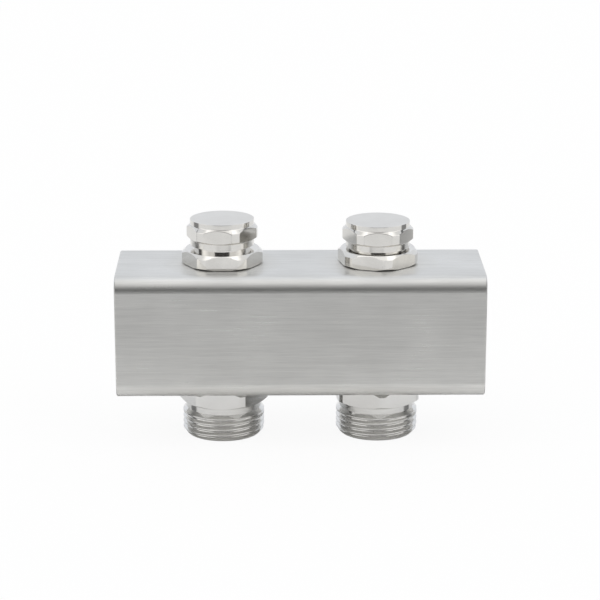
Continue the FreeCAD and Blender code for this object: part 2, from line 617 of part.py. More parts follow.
def valve_cap(index):
    """Screw cap: round top and skirt, a hexagon between them, and a plain bore for the neck."""
    body = new_body(f"valve_cap_{index}")
    shape = ("dim.cap_hex", "dim.cap_hex_corner", "dim.cap_round", "dim.cap_round")
    hexagon_block(body, *shape, "dim.cap_hex_base", "dim.cap_hex_height")
    radius = "dim.cap_round / 2"
    edge = "dim.cap_edge"
    turned = [
        ("0", "0"),
        (f"{radius} - {edge}", "0"),
        (radius, edge),
        (radius, f"dim.cap_height - {edge}"),
        (f"{radius} - {edge}", "dim.cap_height"),
        ("0", "dim.cap_height"),
    ]
    turn_profile(body, "turned_body", turned)
    bore = "(dim.neck_thread / 2 + dim.thread_play)"
    ceiling = "dim.cap_height - dim.cap_top"
    inside = [("0", "0"), (f"{bore} + {edge}", "0"), (bore, edge), (bore, ceiling), ("0", ceiling)]
    turn_profile(body, "neck_bore", inside, cut=True)
    level = f"{NECK_RIM} + dim.cap_seal_thickness - dim.cap_height + dim.cap_top + dim.cap_lift_{index}"
    add_piece(f"valve_cap_{index}", body, x=outlet_x(index), z=level, turn=f"dim.cap_turn_{index}")


def flat_seals(index):
    """Seals of one valve: under the bonnet, above the outlet hexagon, inside the cap, and the disc washer."""
    axis = outlet_x(index)
    for name, level in (("bonnet", BAR_TOP), ("outlet", OUTLET_HEX_TOP)):
        outer = f"dim.{name}_hex - 2 * dim.seal_margin"
        bore = f"dim.{name}_spigot + 2 * dim.thread_play"
        flat_ring(f"{name}_seal_{index}", outer, bore, f"dim.{name}_seal", x=axis, z=level)
    cap_level = f"{NECK_RIM} + dim.cap_lift_{index}"
    cap_size = ("dim.neck_thread", "dim.cap_seal_bore", "dim.cap_seal_thickness")
    flat_ring(f"cap_seal_{index}", *cap_size, x=axis, z=cap_level)
    washer_size = ("dim.disc_washer", "dim.disc_washer_bore", "dim.disc_washer_thickness")
    flat_ring(f"disc_washer_{index}", *washer_size, x=axis, z=SEAT)


def build():
    """Make every piece of the manifold."""
    fill_sheet()
    manifold_bar()
    end_plate("end_plate_left", -1)
    end_plate("end_plate_right", 1)
    for index in range(1, int(size("dim.outlet_count")) + 1):
        outlet_nipple(index)
        valve_bonnet(index)
        stop_ring(index)
        spindle(index)
        stem_seals(index)
        disc_holder(index)
        disc_screw(index)
        valve_cap(index)
        flat_seals(index)
    doc.recompute()


def check():
    """Stop if anything in the document failed or a piece is not a valid solid."""
    failed = [item.Label for item in doc.Objects if {"Invalid", "Error"} & set(item.State)]
    for piece in pieces:
        shape = piece.Shape
        if shape.isNull() or not shape.isValid() or not shape.Solids:
            failed.append(piece.Label)
    if failed:
        raise RuntimeError(f"these failed: {sorted(set(failed))}")


def write():
    """Write one STEP file for each piece."""
    os.makedirs("parts", exist_ok=True)
    for piece in pieces:
        piece.Shape.exportStep(os.path.join("parts", f"{piece.Label}.step"))


build()
check()
write()
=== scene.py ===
"""Looks of a heating manifold: finishes, cut threads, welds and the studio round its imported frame.

Frame: +Z up, +X along the bar, front of the bar towards -Y. Piece sizes are written in millimetres.
"""

import logging
import math
from collections.abc import Callable
from dataclasses import dataclass
from enum import Enum

import bpy
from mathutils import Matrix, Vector


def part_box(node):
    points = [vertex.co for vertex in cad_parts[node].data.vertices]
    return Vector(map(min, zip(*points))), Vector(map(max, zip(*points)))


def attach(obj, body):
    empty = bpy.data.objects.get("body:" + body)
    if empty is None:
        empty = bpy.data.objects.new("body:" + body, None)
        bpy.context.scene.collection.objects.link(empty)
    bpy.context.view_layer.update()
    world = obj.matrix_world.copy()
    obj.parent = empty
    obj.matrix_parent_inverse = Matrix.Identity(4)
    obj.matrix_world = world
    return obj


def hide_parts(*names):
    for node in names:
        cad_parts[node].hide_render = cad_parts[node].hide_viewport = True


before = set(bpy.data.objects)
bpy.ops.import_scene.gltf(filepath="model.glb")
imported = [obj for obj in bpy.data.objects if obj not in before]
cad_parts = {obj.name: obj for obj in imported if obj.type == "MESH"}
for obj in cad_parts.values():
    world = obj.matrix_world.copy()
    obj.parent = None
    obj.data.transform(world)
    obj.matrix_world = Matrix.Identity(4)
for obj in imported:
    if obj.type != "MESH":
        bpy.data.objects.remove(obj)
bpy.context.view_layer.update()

MM = 0.001
SEGMENTS = 128  # sides of a turned piece
FULL_TURN = 2 * math.pi  # in radians
HALF_CIRCLE = 180.0  # in degrees
QUARTER_CIRCLE = 90.0  # in degrees
OVERRUN = 0.5  # how far a bore goes past an open end
LOG = logging.getLogger("heating_manifold")

Point = tuple[float, float]
Triple = tuple[float, float, float]
Tint = Triple
Solid = bpy.types.Object
Material = bpy.types.Material
Node = bpy.types.Node
Tree = bpy.types.NodeTree
Socket = bpy.types.NodeSocket
Fill = Callable[["Effects"], dict[str, Socket]]


class Cut(Enum):
    """Ways to combine two solids."""

    JOIN = "UNION"
    REMOVE = "DIFFERENCE"
    KEEP = "INTERSECT"


class Select(Enum):
    """What edit mode selects."""

    FACES = "FACE"
    EDGES = "EDGE"


class Ramp(Enum):
    """How a value goes from one limit to the other."""

    STRAIGHT = "LINEAR"
    SOFT = "SMOOTHSTEP"


class ThreadSide(Enum):
    """Which way a thread's groove goes from its crest."""

    MALE = -1
    FEMALE = 1


class End(Enum):
    """The two ends of the bar, by the sign of their X."""

    LEFT = -1
    RIGHT = 1


@dataclass(frozen=True)
class Thread:
    """Screw thread with round crests and roots, cut as one helical groove.

    Attributes:
        crest: radius of the crests.
        depth: depth of the groove.
        pitch: rise of one turn.
        flank: angle of each flank from the plane across the axis, in degrees.
        start: level of the middle of the groove where the cutter starts.
        turns: turns that the cutter makes.
        side: male or female.
        lead_in: turns over which the groove grows from nothing at its start.
        run_out: turns over which it shrinks to nothing at its end.
        clearance: how far the cutter stands out of the metal.
        arc_steps: straight pieces in each round of the groove's section.
        crest_gap: turn short of the middle of a crest at which the cutter leaves the metal.
    """

    crest: float
    depth: float
    pitch: float
    flank: float
    start: float
    turns: float
    side: ThreadSide
    lead_in: float = 0.0
    run_out: float = 0.0

    clearance = 0.15
    arc_steps = 4
    crest_gap = math.radians(15)

    def rounding(self) -> float:
        """Radius that runs into both flanks.

        Returns:
            The radius, at the crests and at the roots.
        """
        flank = math.radians(self.flank)
        spare = self.pitch / 2 - self.depth * math.tan(flank)
        return spare / (2 * (math.cos(flank) - (1 - math.sin(flank)) * math.tan(flank)))

    def half_section(self) -> list[Point]:
        """Half of the groove's section, from the middle of its floor to its mouth.

        Returns:
            Radius and distance along the axis from the middle of the groove.
        """
        bend = self.rounding()
        swing = math.pi / 2 - math.radians(self.flank)
        shares = [step / self.arc_steps for step in range(self.arc_steps + 1)]
        floor = [swing * share for share in shares]
        lips = [swing + (self.crest_gap - swing) * share for share in shares]
        half = [(self.depth - bend * (1 - math.cos(turn)), bend * math.sin(turn)) for turn in floor]
        half += [(bend * (1 - math.cos(turn)), self.pitch / 2 - bend * math.sin(turn)) for turn in lips]
        half.append((-self.clearance, half[-1][1]))
        return [(self.crest + self.side.value * depth, along) for depth, along in half]

    def section(self) -> list[Point]:
        """The groove's closed section, from one side of the mouth to the other.

        Returns:
            Radius and level of each corner.
        """
        half = self.half_section()
        lower = [(radius, self.start - along) for radius, along in reversed(half[1:])]
        return lower + [(radius, self.start + along) for radius, along in half]


@dataclass(frozen=True)
class Hexagon:
    """Spanner hexagon with turned corners and a turned chamfer at both faces.

    Attributes:
        flats: size across the flats.
        corner: radius that the corners are turned to.
        base: level of the lower face.
        top: level of the upper face.
        lower_face: radius where the lower chamfer starts.
        upper_face: radius where the upper chamfer ends.
        flat_ahead: turn that brings one of the six flats to the front.
        lower_slope: rise of the lower chamfer.
        upper_slope: rise of the upper chamfer.
    """

    flats: float
    corner: float
    base: float
    top: float
    lower_face: float
    upper_face: float

    sides = 6
    flat_ahead = math.radians(30)
    lower_slope = math.tan(math.radians(30))
    upper_slope = math.tan(math.radians(45))

    def middle(self) -> float:
        """Level halfway between both faces."""
        return (self.base + self.top) / 2

    def sharp_corner(self) -> float:
        """Radius of the corners before they are turned."""
        return self.flats / math.sqrt(3)

    def envelope(self) -> list[Point]:
        """Turned outline that trims the hexagon, from its lower face to its upper one."""
        return [
            (self.lower_face, self.base),
            (self.corner, self.base + (self.corner - self.lower_face) * self.lower_slope),
            (self.corner, self.top - (self.corner - self.upper_face) * self.upper_slope),
            (self.upper_face, self.top),
        ]


class Bench:
    """Modelling tools that the sub-assemblies share.

    Attributes:
        merge_distance: corners closer than this are merged, in metres.
        smooth_angle: smaller bends between two faces are shaded smooth.
        edge_angle: larger bends have their edge broken.
        edge_steps: faces across a broken edge.
        corner_steps: straight pieces in a plate's round corner.
        hexagon_spare: how far a hexagon goes past both faces before it is trimmed.
    """

    merge_distance = 2e-6
    smooth_angle = math.radians(32)
    edge_angle = math.radians(15)
    edge_steps = 2
    corner_steps = 12
    hexagon_spare = 1.0

    @staticmethod
    def clear() -> None:
        """Leave edit mode and deselect everything."""
        if bpy.context.object and bpy.context.object.mode != "OBJECT":
            bpy.ops.object.mode_set(mode="OBJECT")
        bpy.ops.object.select_all(action="DESELECT")

    @staticmethod
    def pick(solid: Solid) -> None:
        """Make one object the only selected and active one.

        Args:
            solid: the object.
        """
        Bench.clear()
        solid.select_set(True)
        bpy.context.view_layer.objects.active = solid

    @staticmethod
    def edit(solid: Solid, kind: Select = Select.FACES) -> None:
        """Open an object in edit mode with all of it selected.

        Args:
            solid: the object.
            kind: what is selected from there on.
        """
        Bench.pick(solid)
        bpy.ops.object.mode_set(mode="EDIT")
        bpy.ops.mesh.select_mode(type=kind.value)
        bpy.ops.mesh.select_all(action="SELECT")

    @staticmethod
    def apply(solid: Solid, modifier: bpy.types.Modifier) -> None:
        """Apply a modifier to its object."""
        Bench.pick(solid)
        bpy.ops.object.modifier_apply(modifier=modifier.name)

    @staticmethod
    def settle(solid: Solid) -> None:
        """Move an object's place and turn into its mesh."""
        Bench.pick(solid)
        bpy.ops.object.transform_apply(location=True, rotation=True, scale=True)

    @staticmethod
    def turn(profile: list[Point]) -> Solid:
        """Turn a solid about the Z axis, from a disc that is extruded and scaled level by level.

        Args:
            profile: radius and level of each corner, from the lower face to the upper one.

        Returns:
            A closed solid with a flat face at both ends.
        """
        Bench.clear()
        radius, level = profile[0]
        place = (0, 0, level * MM)
        bpy.ops.mesh.primitive_circle_add(
            vertices=SEGMENTS, radius=radius * MM, fill_type="NGON", location=place
        )
        solid = bpy.context.object
        Bench.edit(solid)
        for next_radius, next_level in profile[1:]:
            rise = (0, 0, (next_level - level) * MM)
            bpy.ops.mesh.extrude_region_move(TRANSFORM_OT_translate={"value": rise})
            growth = next_radius / radius
            bpy.ops.transform.resize(value=(growth, growth, 1), center_override=(0, 0, next_level * MM))
            radius, level = next_radius, next_level
        Bench.settle(solid)
        Bench.close(solid)
        return solid

    @staticmethod
    def close(solid: Solid) -> None:
        """Merge doubled corners and point every face outwards.

        Args:
            solid: the solid, which stays picked.
        """
        Bench.edit(solid)
        bpy.ops.mesh.remove_doubles(threshold=Bench.merge_distance)
        bpy.ops.mesh.normals_make_consistent(inside=False)
        bpy.ops.object.mode_set(mode="OBJECT")

    @staticmethod
    def combine(solid: Solid, tool: Solid, cut: Cut) -> None:
        """Join, cut or trim a solid with a second one, which is used up.

        Args:
            solid: the solid that stays.
            tool: the solid that works on it.
            cut: what is done.
        """
        boolean = solid.modifiers.new("cut", "BOOLEAN")
        boolean.operation = cut.value
        boolean.solver = "EXACT"
        boolean.object = tool
        Bench.apply(solid, boolean)
        bpy.data.objects.remove(tool)

    @staticmethod
    def hexagon(form: Hexagon) -> Solid:
        """Spanner hexagon about the Z axis, one flat towards -Y.

        Args:
            form: its sizes.

        Returns:
            The hexagon, trimmed by its turned envelope.
        """
        Bench.clear()
        bpy.ops.mesh.primitive_cylinder_add(
            vertices=form.sides,
            radius=form.sharp_corner() * MM,
            depth=(form.top - form.base + 2 * Bench.hexagon_spare) * MM,
            location=(0, 0, form.middle() * MM),
            rotation=(0, 0, form.flat_ahead),
        )
        block = bpy.context.object
        Bench.settle(block)
        Bench.combine(block, Bench.turn(form.envelope()), Cut.KEEP)
        return block

    @staticmethod
    def plate(side: float, bend: float) -> Solid:
        """Flat square face about the Z axis with round corners.

        Args:
            side: size across it.
            bend: radius of its corners.

        Returns:
            The face at level 0.
        """
        Bench.clear()
        bpy.ops.mesh.primitive_plane_add(size=side * MM)
        sheet = bpy.context.object
        Bench.edit(sheet)
        bpy.ops.mesh.bevel(offset=bend * MM, segments=Bench.corner_steps, affect="VERTICES")
        bpy.ops.object.mode_set(mode="OBJECT")
        return sheet

    @staticmethod
    def machine(solid: Solid, bore: list[Point], edge: float, thread: Thread) -> None:
        """Bore a solid, break its edges, cut its thread and shade it.

        Args:
            solid: the solid, about the Z axis.
            bore: turned outline of the bore.
            edge: width of the broken edges.
            thread: the thread.
        """
        Bench.combine(solid, Bench.turn(bore), Cut.REMOVE)
        Bench.soften(solid, edge)
        Bench.cut_thread(solid, thread)
        Bench.smooth(solid)

    @staticmethod
    def cut_thread(solid: Solid, thread: Thread) -> None:
        """Cut a thread into a solid: the groove's section, swept by a screw modifier and capped.

        Args:
            solid: the solid, about the Z axis.
            thread: the thread to be cut.
        """
        section = thread.section()
        Bench.clear()
        bpy.ops.mesh.primitive_circle_add(vertices=len(section), radius=thread.pitch * MM)
        coil = bpy.context.object
        for corner, (radius, level) in zip(coil.data.vertices, section):
            corner.co = (radius * MM, 0, level * MM)
        screw = coil.modifiers.new("helix", "SCREW")
        screw.axis = "Z"
        screw.angle = FULL_TURN * thread.turns
        screw.screw_offset = thread.pitch * thread.turns * MM
        screw.steps = screw.render_steps = round(SEGMENTS * thread.turns)
        screw.use_merge_vertices = False
        Bench.apply(coil, screw)
        Bench.fade(coil, thread, len(section))
        Bench.edit(coil, Select.EDGES)
        bpy.ops.mesh.select_all(action="DESELECT")
        bpy.ops.mesh.select_non_manifold()
        bpy.ops.mesh.fill_holes(sides=len(section))
        Bench.close(coil)
        Bench.combine(solid, coil, Cut.REMOVE)

    @staticmethod
    def fade(coil: Solid, thread: Thread, corners: int) -> None:
        """Lift the ends of a cutter out of the metal, so that the groove runs out.

        Args:
            coil: the swept cutter, with its sections in order.
            thread: the thread, which says how long its ends are.
            corners: corners in one section.
        """
        lift = thread.side.value * (thread.depth + thread.clearance) * MM
        last = len(coil.data.vertices) // corners - 1
        for number, corner in enumerate(coil.data.vertices):
            turned = number // corners / last * thread.turns
            starting = 1 - turned / thread.lead_in if thread.lead_in else 0.0
            ending = 1 - (thread.turns - turned) / thread.run_out if thread.run_out else 0.0
            raised = max(starting, ending, 0.0)
            growth = 1 - lift * raised / math.hypot(corner.co.x, corner.co.y)
            corner.co.x *= growth
            corner.co.y *= growth

    @staticmethod
    def soften(solid: Solid, width: float) -> None:
        """Break the sharp edges of a solid with a small round.

        Args:
            solid: the solid.
            width: width of the round.
        """
        Bench.close(solid)
        bevel = solid.modifiers.new("edges", "BEVEL")
        bevel.width = width * MM
        bevel.segments = Bench.edge_steps
        bevel.limit_method = "ANGLE"
        bevel.angle_limit = Bench.edge_angle
        bevel.miter_outer = "MITER_ARC"
        Bench.apply(solid, bevel)

    @staticmethod
    def smooth(solid: Solid) -> None:
        """Shade the rounds smooth and keep the flats flat.

        Args:
            solid: the solid.
        """
        Bench.close(solid)
        bpy.ops.object.shade_smooth_by_angle(angle=Bench.smooth_angle)
        weights = solid.modifiers.new("flats", "WEIGHTED_NORMAL")
        weights.keep_sharp = True
        Bench.apply(solid, weights)

    @staticmethod
    def copy(pattern: Solid, name: str, place: Triple, turn: Triple) -> Solid:
        """Copy a finished solid with a mesh of its own to its place in the assembly.

        Args:
            pattern: the solid, modelled about the Z axis.
            name: name of the copy.
            place: where its origin goes, in metres.
            turn: turns about X, Y and Z, in degrees.

        Returns:
            The copy, with its place in its mesh.
        """
        piece = pattern.copy()
        piece.data = pattern.data.copy()
        piece.name = piece.data.name = name
        bpy.context.scene.collection.objects.link(piece)
        piece.location = place
        piece.rotation_euler = [math.radians(angle) for angle in turn]
        Bench.settle(piece)
        return piece


class Graph:
    """Adds and links the nodes of one shader tree.

    Attributes:
        mix_first: input of a Mix node that takes its first colour.
        mix_second: input that takes the second.
        mix_result: output with the mixed colour.
    """

    mix_first = 6
    mix_second = 7
    mix_result = 2

    def __init__(self, tree: Tree) -> None:
        """Keep the tree that the nodes go in."""
        self.tree = tree

    def add(self, kind: str, inputs: dict[str | int, object] | None = None, **settings: object) -> Node:
        """Add one node.

        Args:
            kind: the node's type, without its common prefix.
            inputs: sockets or plain values for its inputs, by name or number.
            **settings: properties to set on it.

        Returns:
            The new node.
        """
        node = self.tree.nodes.new(f"ShaderNode{kind}")
        for name, value in settings.items():
            setattr(node, name, value)
        for key, source in (inputs or {}).items():
            self.feed(node.inputs[key], source)
        return node

    def feed(self, target: Socket, source: object) -> None:
        """Link a socket to another one, or give it a plain value.

        Args:
            target: the socket that is fed.
            source: the other socket, or the value.
        """
        if isinstance(source, bpy.types.NodeSocket):
            self.tree.links.new(source, target)
        else:
            target.default_value = source

    def math(self, operation: str, *terms: Socket | float) -> Socket:
        """Result of one Math node, with its terms in order."""
        return self.add("Math", dict(enumerate(terms)), operation=operation).outputs[0]

    def mean(self, first: Socket, second: Socket, share: float) -> Socket:
        """Mean of two values, weighted by the share of the first."""
        weighted = self.math("MULTIPLY", first, share)
        return self.math("ADD", weighted, self.math("MULTIPLY", second, 1 - share))

    def apart(self, vector: Socket) -> list[Socket]:
        """X, Y and Z of a vector."""
        return list(self.add("SeparateXYZ", {0: vector}).outputs)

    def radius(self, across: Socket, deep: Socket) -> Socket:
        """Distance from the middle of a plane."""
        squares = [self.math("POWER", side, 2.0) for side in (across, deep)]
        return self.math("SQRT", self.math("ADD", *squares))

    def heading(self, aside: Socket, ahead: Socket) -> Socket:
        """Turn of a direction from straight ahead, in degrees."""
        return self.math("DEGREES", self.math("ARCTAN2", aside, ahead))

    def spread(
        self,
        value: Socket,
        low: Socket | float,
        high: Socket | float,
        limits: Point = (0.0, 1.0),
        ramp: Ramp = Ramp.STRAIGHT,
    ) -> Socket:
        """Map a value onto a range of its own.

        Args:
            value: what is mapped.
            low: result at the lower limit.
            high: result at the upper limit.
            limits: lower and upper limit of the value.
            ramp: how the result goes from one to the other.

        Returns:
            The mapped value.
        """
        ends = {"From Min": limits[0], "From Max": limits[1], "To Min": low, "To Max": high}
        node = self.add("MapRange", {"Value": value, **ends}, interpolation_type=ramp.value)
        return node.outputs["Result"]

    def noise(self, vector: Socket, scale: float, detail: float) -> Socket:
        """Value of a noise texture, about 0.5, with its scale and octaves."""
        return self.add("TexNoise", {"Vector": vector, "Scale": scale, "Detail": detail}).outputs["Fac"]

    def blend(self, factor: Socket, first: Tint, second: Tint) -> Socket:
        """Colour between two tints, by a factor of 0 for the first and 1 for the second."""
        inputs = {0: factor, self.mix_first: (*first, 1.0), self.mix_second: (*second, 1.0)}
        return self.add("Mix", inputs, data_type="RGBA").outputs[self.mix_result]


class Effects(Graph):
    """Nodes of a shader group that more than one finish uses; each group is built once.

    Attributes:
        midtones: part of a noise that is spread from 0 to 1.
        drawn_out: shares of X, Y and Z that leave a pattern drawn out along X.
        broad_share: share of the broad scratches in a streak, beside the fine ones.
        cloud_scale: scale of the clouds that the grains fade in.
        plain_scale: scale of a pattern that only its density sizes.
        soft_detail: octaves of a soft noise.
        rich_detail: octaves of a noise with small marks in it.
    """

    midtones = (0.3, 0.7)
    drawn_out = (0.024, 1.0, 1.0)
    broad_scale = 0.35
    fine_scale = 1.6
    broad_share = 0.45
    cloud_scale = 0.6
    plain_scale = 1.0
    soft_detail = 2.0
    rich_detail = 3.0

    def __init__(self, tree: Tree) -> None:
        """Give a new group its coordinates and the density of its pattern.

        Args:
            tree: the group.
        """
        super().__init__(tree)
        for label, kind in (("Vector", "Vector"), ("Density", "Float")):
            tree.interface.new_socket(label, in_out="INPUT", socket_type=f"NodeSocket{kind}")
        source = tree.nodes.new("NodeGroupInput").outputs
        self.vector, self.density = source["Vector"], source["Density"]

    @staticmethod
    def group(fill: Fill) -> Tree:
        """Find the group of an effect, or make it.

        Args:
            fill: the effect: it adds the nodes and names the values that the group puts out.

        Returns:
            The group.
        """
        name = fill.__name__
        if name in bpy.data.node_groups:
            return bpy.data.node_groups[name]
        tree = bpy.data.node_groups.new(name, "ShaderNodeTree")
        effect = Effects(tree)
        values = fill(effect)
        for label in values:
            tree.interface.new_socket(label, in_out="OUTPUT", socket_type="NodeSocketFloat")
        result = tree.nodes.new("NodeGroupOutput")
        for label, value in values.items():
            effect.feed(result.inputs[label], value)
        return tree

    def scaled(self, vector: Socket) -> Socket:
        """A vector times the density."""
        return self.add("VectorMath", {0: vector, "Scale": self.density}, operation="SCALE").outputs[0]

    def brush_grain(self) -> dict[str, Socket]:
        """Long fine scratches across a pattern's Y and Z, drawn out along its X.

        Returns:
            The streaks, and the height of the fine ones.
        """
        long = self.add("VectorMath", {0: self.vector, 1: self.drawn_out}, operation="MULTIPLY")
        scratches = self.scaled(long.outputs[0])
        broad = self.noise(scratches, self.broad_scale, self.soft_detail)
        fine = self.noise(scratches, self.fine_scale, self.rich_detail)
        both = self.mean(broad, fine, self.broad_share)
        return {"Streak": self.spread(both, 0.0, 1.0, self.midtones), "Height": fine}

    def turning_marks(self) -> dict[str, Socket]:
        """Fine rings about a pattern's Z axis, as a lathe tool leaves them.

        Returns:
            The rings.
        """
        across, deep, up = self.apart(self.vector)
        radius = self.math("MULTIPLY", self.radius(across, deep), self.density)
        level = self.math("MULTIPLY", up, self.density)
        outline = self.add("CombineXYZ", {"X": radius, "Z": level}).outputs[0]
        rings = self.noise(outline, self.plain_scale, self.soft_detail)
        return {"Ring": self.spread(rings, 0.0, 1.0, self.midtones)}

    def soft_film(self) -> dict[str, Socket]:
        """Broad soft patches, as handling and plating leave them."""
        film = self.noise(self.scaled(self.vector), self.plain_scale, self.rich_detail)
        return {"Film": self.spread(film, 0.0, 1.0, self.midtones)}

    def speckle(self) -> dict[str, Socket]:
        """Small grains, as filled rubber and pressed fibre show them.

        Returns:
            The specks.
        """
        fine = self.scaled(self.vector)
        cells = self.add("TexVoronoi", {"Vector": fine, "Scale": self.plain_scale})
        cloud = self.noise(fine, self.cloud_scale, self.rich_detail)
        return {"Speck": self.math("MULTIPLY", cells.outputs["Distance"], cloud)}


class Surface(Graph):
    """Nodes of one material, and the shader that they drive."""

    def __init__(self, material: Material) -> None:
        """Open a new material.

        Args:
            material: the material.
        """
        material.use_nodes = True
        super().__init__(material.node_tree)
        self.shader = self.tree.nodes["Principled BSDF"]

    def drive(self, name: str, source: object) -> None:
        """Feed one input of the shader with a socket or a plain value."""
        self.feed(self.shader.inputs[name], source)

    def place(self, centre: Triple = (0.0, 0.0, 0.0), turn: Triple = (0.0, 0.0, 0.0)) -> Socket:
        """Object coordinates about a point of the object.

        Args:
            centre: the point, in metres.
            turn: turns of the pattern about X, Y and Z, in degrees.

        Returns:
            The coordinates.
        """
        source = self.add("TexCoord").outputs["Object"]
        angles = [math.radians(angle) for angle in turn]
        inputs = {"Vector": source, "Location": centre, "Rotation": angles}
        return self.add("Mapping", inputs, vector_type="TEXTURE").outputs[0]

    def effect(self, fill: Fill, vector: Socket, density: float) -> Node:
        """Place the group of one effect at coordinates, with a density of its own."""
        return self.add("Group", {"Vector": vector, "Density": density}, node_tree=Effects.group(fill))


class Finish:
    """A procedural material: subclasses say how its effects drive the shader.

    Attributes:
        name: name of the material.
        tint: its mean colour.
        roughness: its mean roughness.
        contrast: share by which its pattern lightens and darkens the colour.
        swing: how far its pattern moves the roughness up and down.
        relief: depth of its pattern, in metres.
        relief_share: share of that depth that shows.
    """

    name: str
    tint: Tint
    roughness: float
    contrast: float
    swing: float
    relief: float
    relief_share: float

    def material(self) -> Material:
        """The finish as a material.

        Returns:
            The material, made on first use.
        """
        found = bpy.data.materials.get(self.name)
        if found:
            return found
        made = bpy.data.materials.new(self.name)
        self.shade(Surface(made))
        return made

    def shade(self, surface: Surface) -> None:
        """Set the shader's constants and drive its other inputs."""
        raise NotImplementedError

    def dress(self, piece: Solid) -> None:
        """Put the finish on every slot of a piece, or on its first slot.

        Args:
            piece: the piece.
        """
        if not piece.material_slots:
            piece.data.materials.append(self.material())
        for slot in piece.material_slots:
            slot.material = self.material()

    def colour(self, surface: Surface, tone: Socket) -> None:
        """Lighten and darken the tint.

        Args:
            surface: the material's nodes.
            tone: 0 where it is darkest and 1 where it is lightest.
        """
        levels = (1 - self.contrast, 1 + self.contrast)
        dark, light = (tuple(channel * level for channel in self.tint) for level in levels)
        surface.drive("Base Color", surface.blend(tone, dark, light))

    def bump(self, surface: Surface, height: Socket) -> None:
        """Raise the surface by a height between 0 and 1, as a share of the relief."""
        relief = {"Strength": self.relief_share, "Distance": self.relief, "Height": height}
        surface.drive("Normal", surface.add("Bump", relief).outputs["Normal"])


@dataclass(frozen=True)
class BrushedSteel(Finish):
    """Stainless steel brushed along the bar: the reflections smear across the brushing.

    Attributes:
        lines: scratches in a metre.
        anisotropy: how much the brushing smears reflections.
        ring_at: distance of the valves from the middle of the bar, in metres.
        ring_fade: radii between which the dull ring round a valve fades, in metres.
        ring_roughness: roughness that such a ring adds.
        patches: patches of its film in a metre.
        streak_share: share of the streaks in its tone.
    """

    name: str
    tint: Tint
    roughness: float = 0.3
    contrast: float = 0.14
    lines: float = 3000.0
    anisotropy: float = 0.6
    ring_at: float = 0.025
    ring_fade: Point = (0.014, 0.020)
    ring_roughness: float = 0.2

    patches = 45.0
    streak_share = 0.7
    swing = 0.05
    relief = 4e-6
    relief_share = 0.25

    def shade(self, surface: Surface) -> None:
        """Drive the shader with brush streaks and a soft film.

        Args:
            surface: the material's nodes.
        """
        vector = surface.place()
        grain = surface.effect(Effects.brush_grain, vector, self.lines).outputs
        film = surface.effect(Effects.soft_film, vector, self.patches).outputs["Film"]
        tone = surface.mean(grain["Streak"], film, self.streak_share)
        self.colour(surface, tone)
        rough = surface.spread(tone, self.roughness + self.swing, self.roughness - self.swing)
        surface.drive("Roughness", surface.math("ADD", rough, self.dull_rings(surface, vector)))
        surface.drive("Tangent", surface.add("Tangent", direction_type="RADIAL", axis="X").outputs[0])
        surface.drive("Metallic", 1.0)
        surface.drive("Anisotropic", self.anisotropy)
        self.bump(surface, grain["Height"])

    def dull_rings(self, surface: Surface, vector: Socket) -> Socket:
        """Roughness that pressing the collars has left round the valves.

        Args:
            surface: the material's nodes.
            vector: object coordinates.

        Returns:
            What is added to the roughness.
        """
        across, deep, _ = surface.apart(vector)
        aside = surface.math("SUBTRACT", surface.math("ABSOLUTE", across), self.ring_at)
        return surface.spread(surface.radius(aside, deep), self.ring_roughness, 0.0, self.ring_fade)


@dataclass(frozen=True)
class TurnedMetal(Finish):
    """Metal turned on a lathe, plated or bare, with fine rings about an axis.

    Attributes:
        centre: a point on the axis that the rings go round, in metres.
        lines: rings in a metre.
        turn: turns about X, Y and Z that bring the pattern's Z onto that axis, in degrees.
        faced_at: level of a duller turned face on top, in metres, if there is one.
        faced_roughness: roughness that such a face adds.
        face_edge: depths below that face between which it starts.
        patches: patches of its film in a metre.
        ring_share: share of the rings in its tone.
    """

    name: str
    tint: Tint
    roughness: float = 0.12
    centre: Triple = (0.0, 0.0, 0.0)
    contrast: float = 0.03
    lines: float = 5000.0
    turn: Triple = (0.0, 0.0, 0.0)
    faced_at: float | None = None
    faced_roughness: float = 0.22

    face_edge = (0.06, 0.02)
    patches = 160.0
    ring_share = 0.5
    swing = 0.04
    relief = 2e-6
    relief_share = 0.2

    def shade(self, surface: Surface) -> None:
        """Drive the shader with turning rings and a soft film.

        Args:
            surface: the material's nodes.
        """
        vector = surface.place(self.centre, self.turn)
        ring = surface.effect(Effects.turning_marks, vector, self.lines).outputs["Ring"]
        film = surface.effect(Effects.soft_film, vector, self.patches).outputs["Film"]
        self.colour(surface, surface.mean(ring, film, self.ring_share))
        rough = surface.spread(film, self.roughness + self.swing, self.roughness - self.swing)
        if self.faced_at is not None:
            rough = surface.math("ADD", rough, self.dull_face(surface, vector))
        surface.drive("Roughness", rough)
        surface.drive("Metallic", 1.0)
        self.bump(surface, ring)

    def dull_face(self, surface: Surface, vector: Socket) -> Socket:
        """Roughness that the facing tool has left on the face on top, at coordinates about the axis."""
        edge = tuple(self.faced_at - below * MM for below in self.face_edge)
        return surface.spread(surface.apart(vector)[-1], 0.0, self.faced_roughness, edge)


@dataclass(frozen=True)
class SoftSeal(Finish):
    """Rubber or fibre with a fine grain.

    Attributes:
        grains: grains in a metre.
    """

    name: str
    tint: Tint
    roughness: float
    grains: float
    contrast: float

    swing = 0.08
    relief = 2e-5
    relief_share = 0.3

    def shade(self, surface: Surface) -> None:
        """Drive the shader with a grain.

        Args:
            surface: the material's nodes.
        """
        speck = surface.effect(Effects.speckle, surface.place(), self.grains).outputs["Speck"]
        self.colour(surface, speck)
        rough = surface.spread(speck, self.roughness - self.swing, self.roughness + self.swing)
        surface.drive("Roughness", rough)
        self.bump(surface, speck)


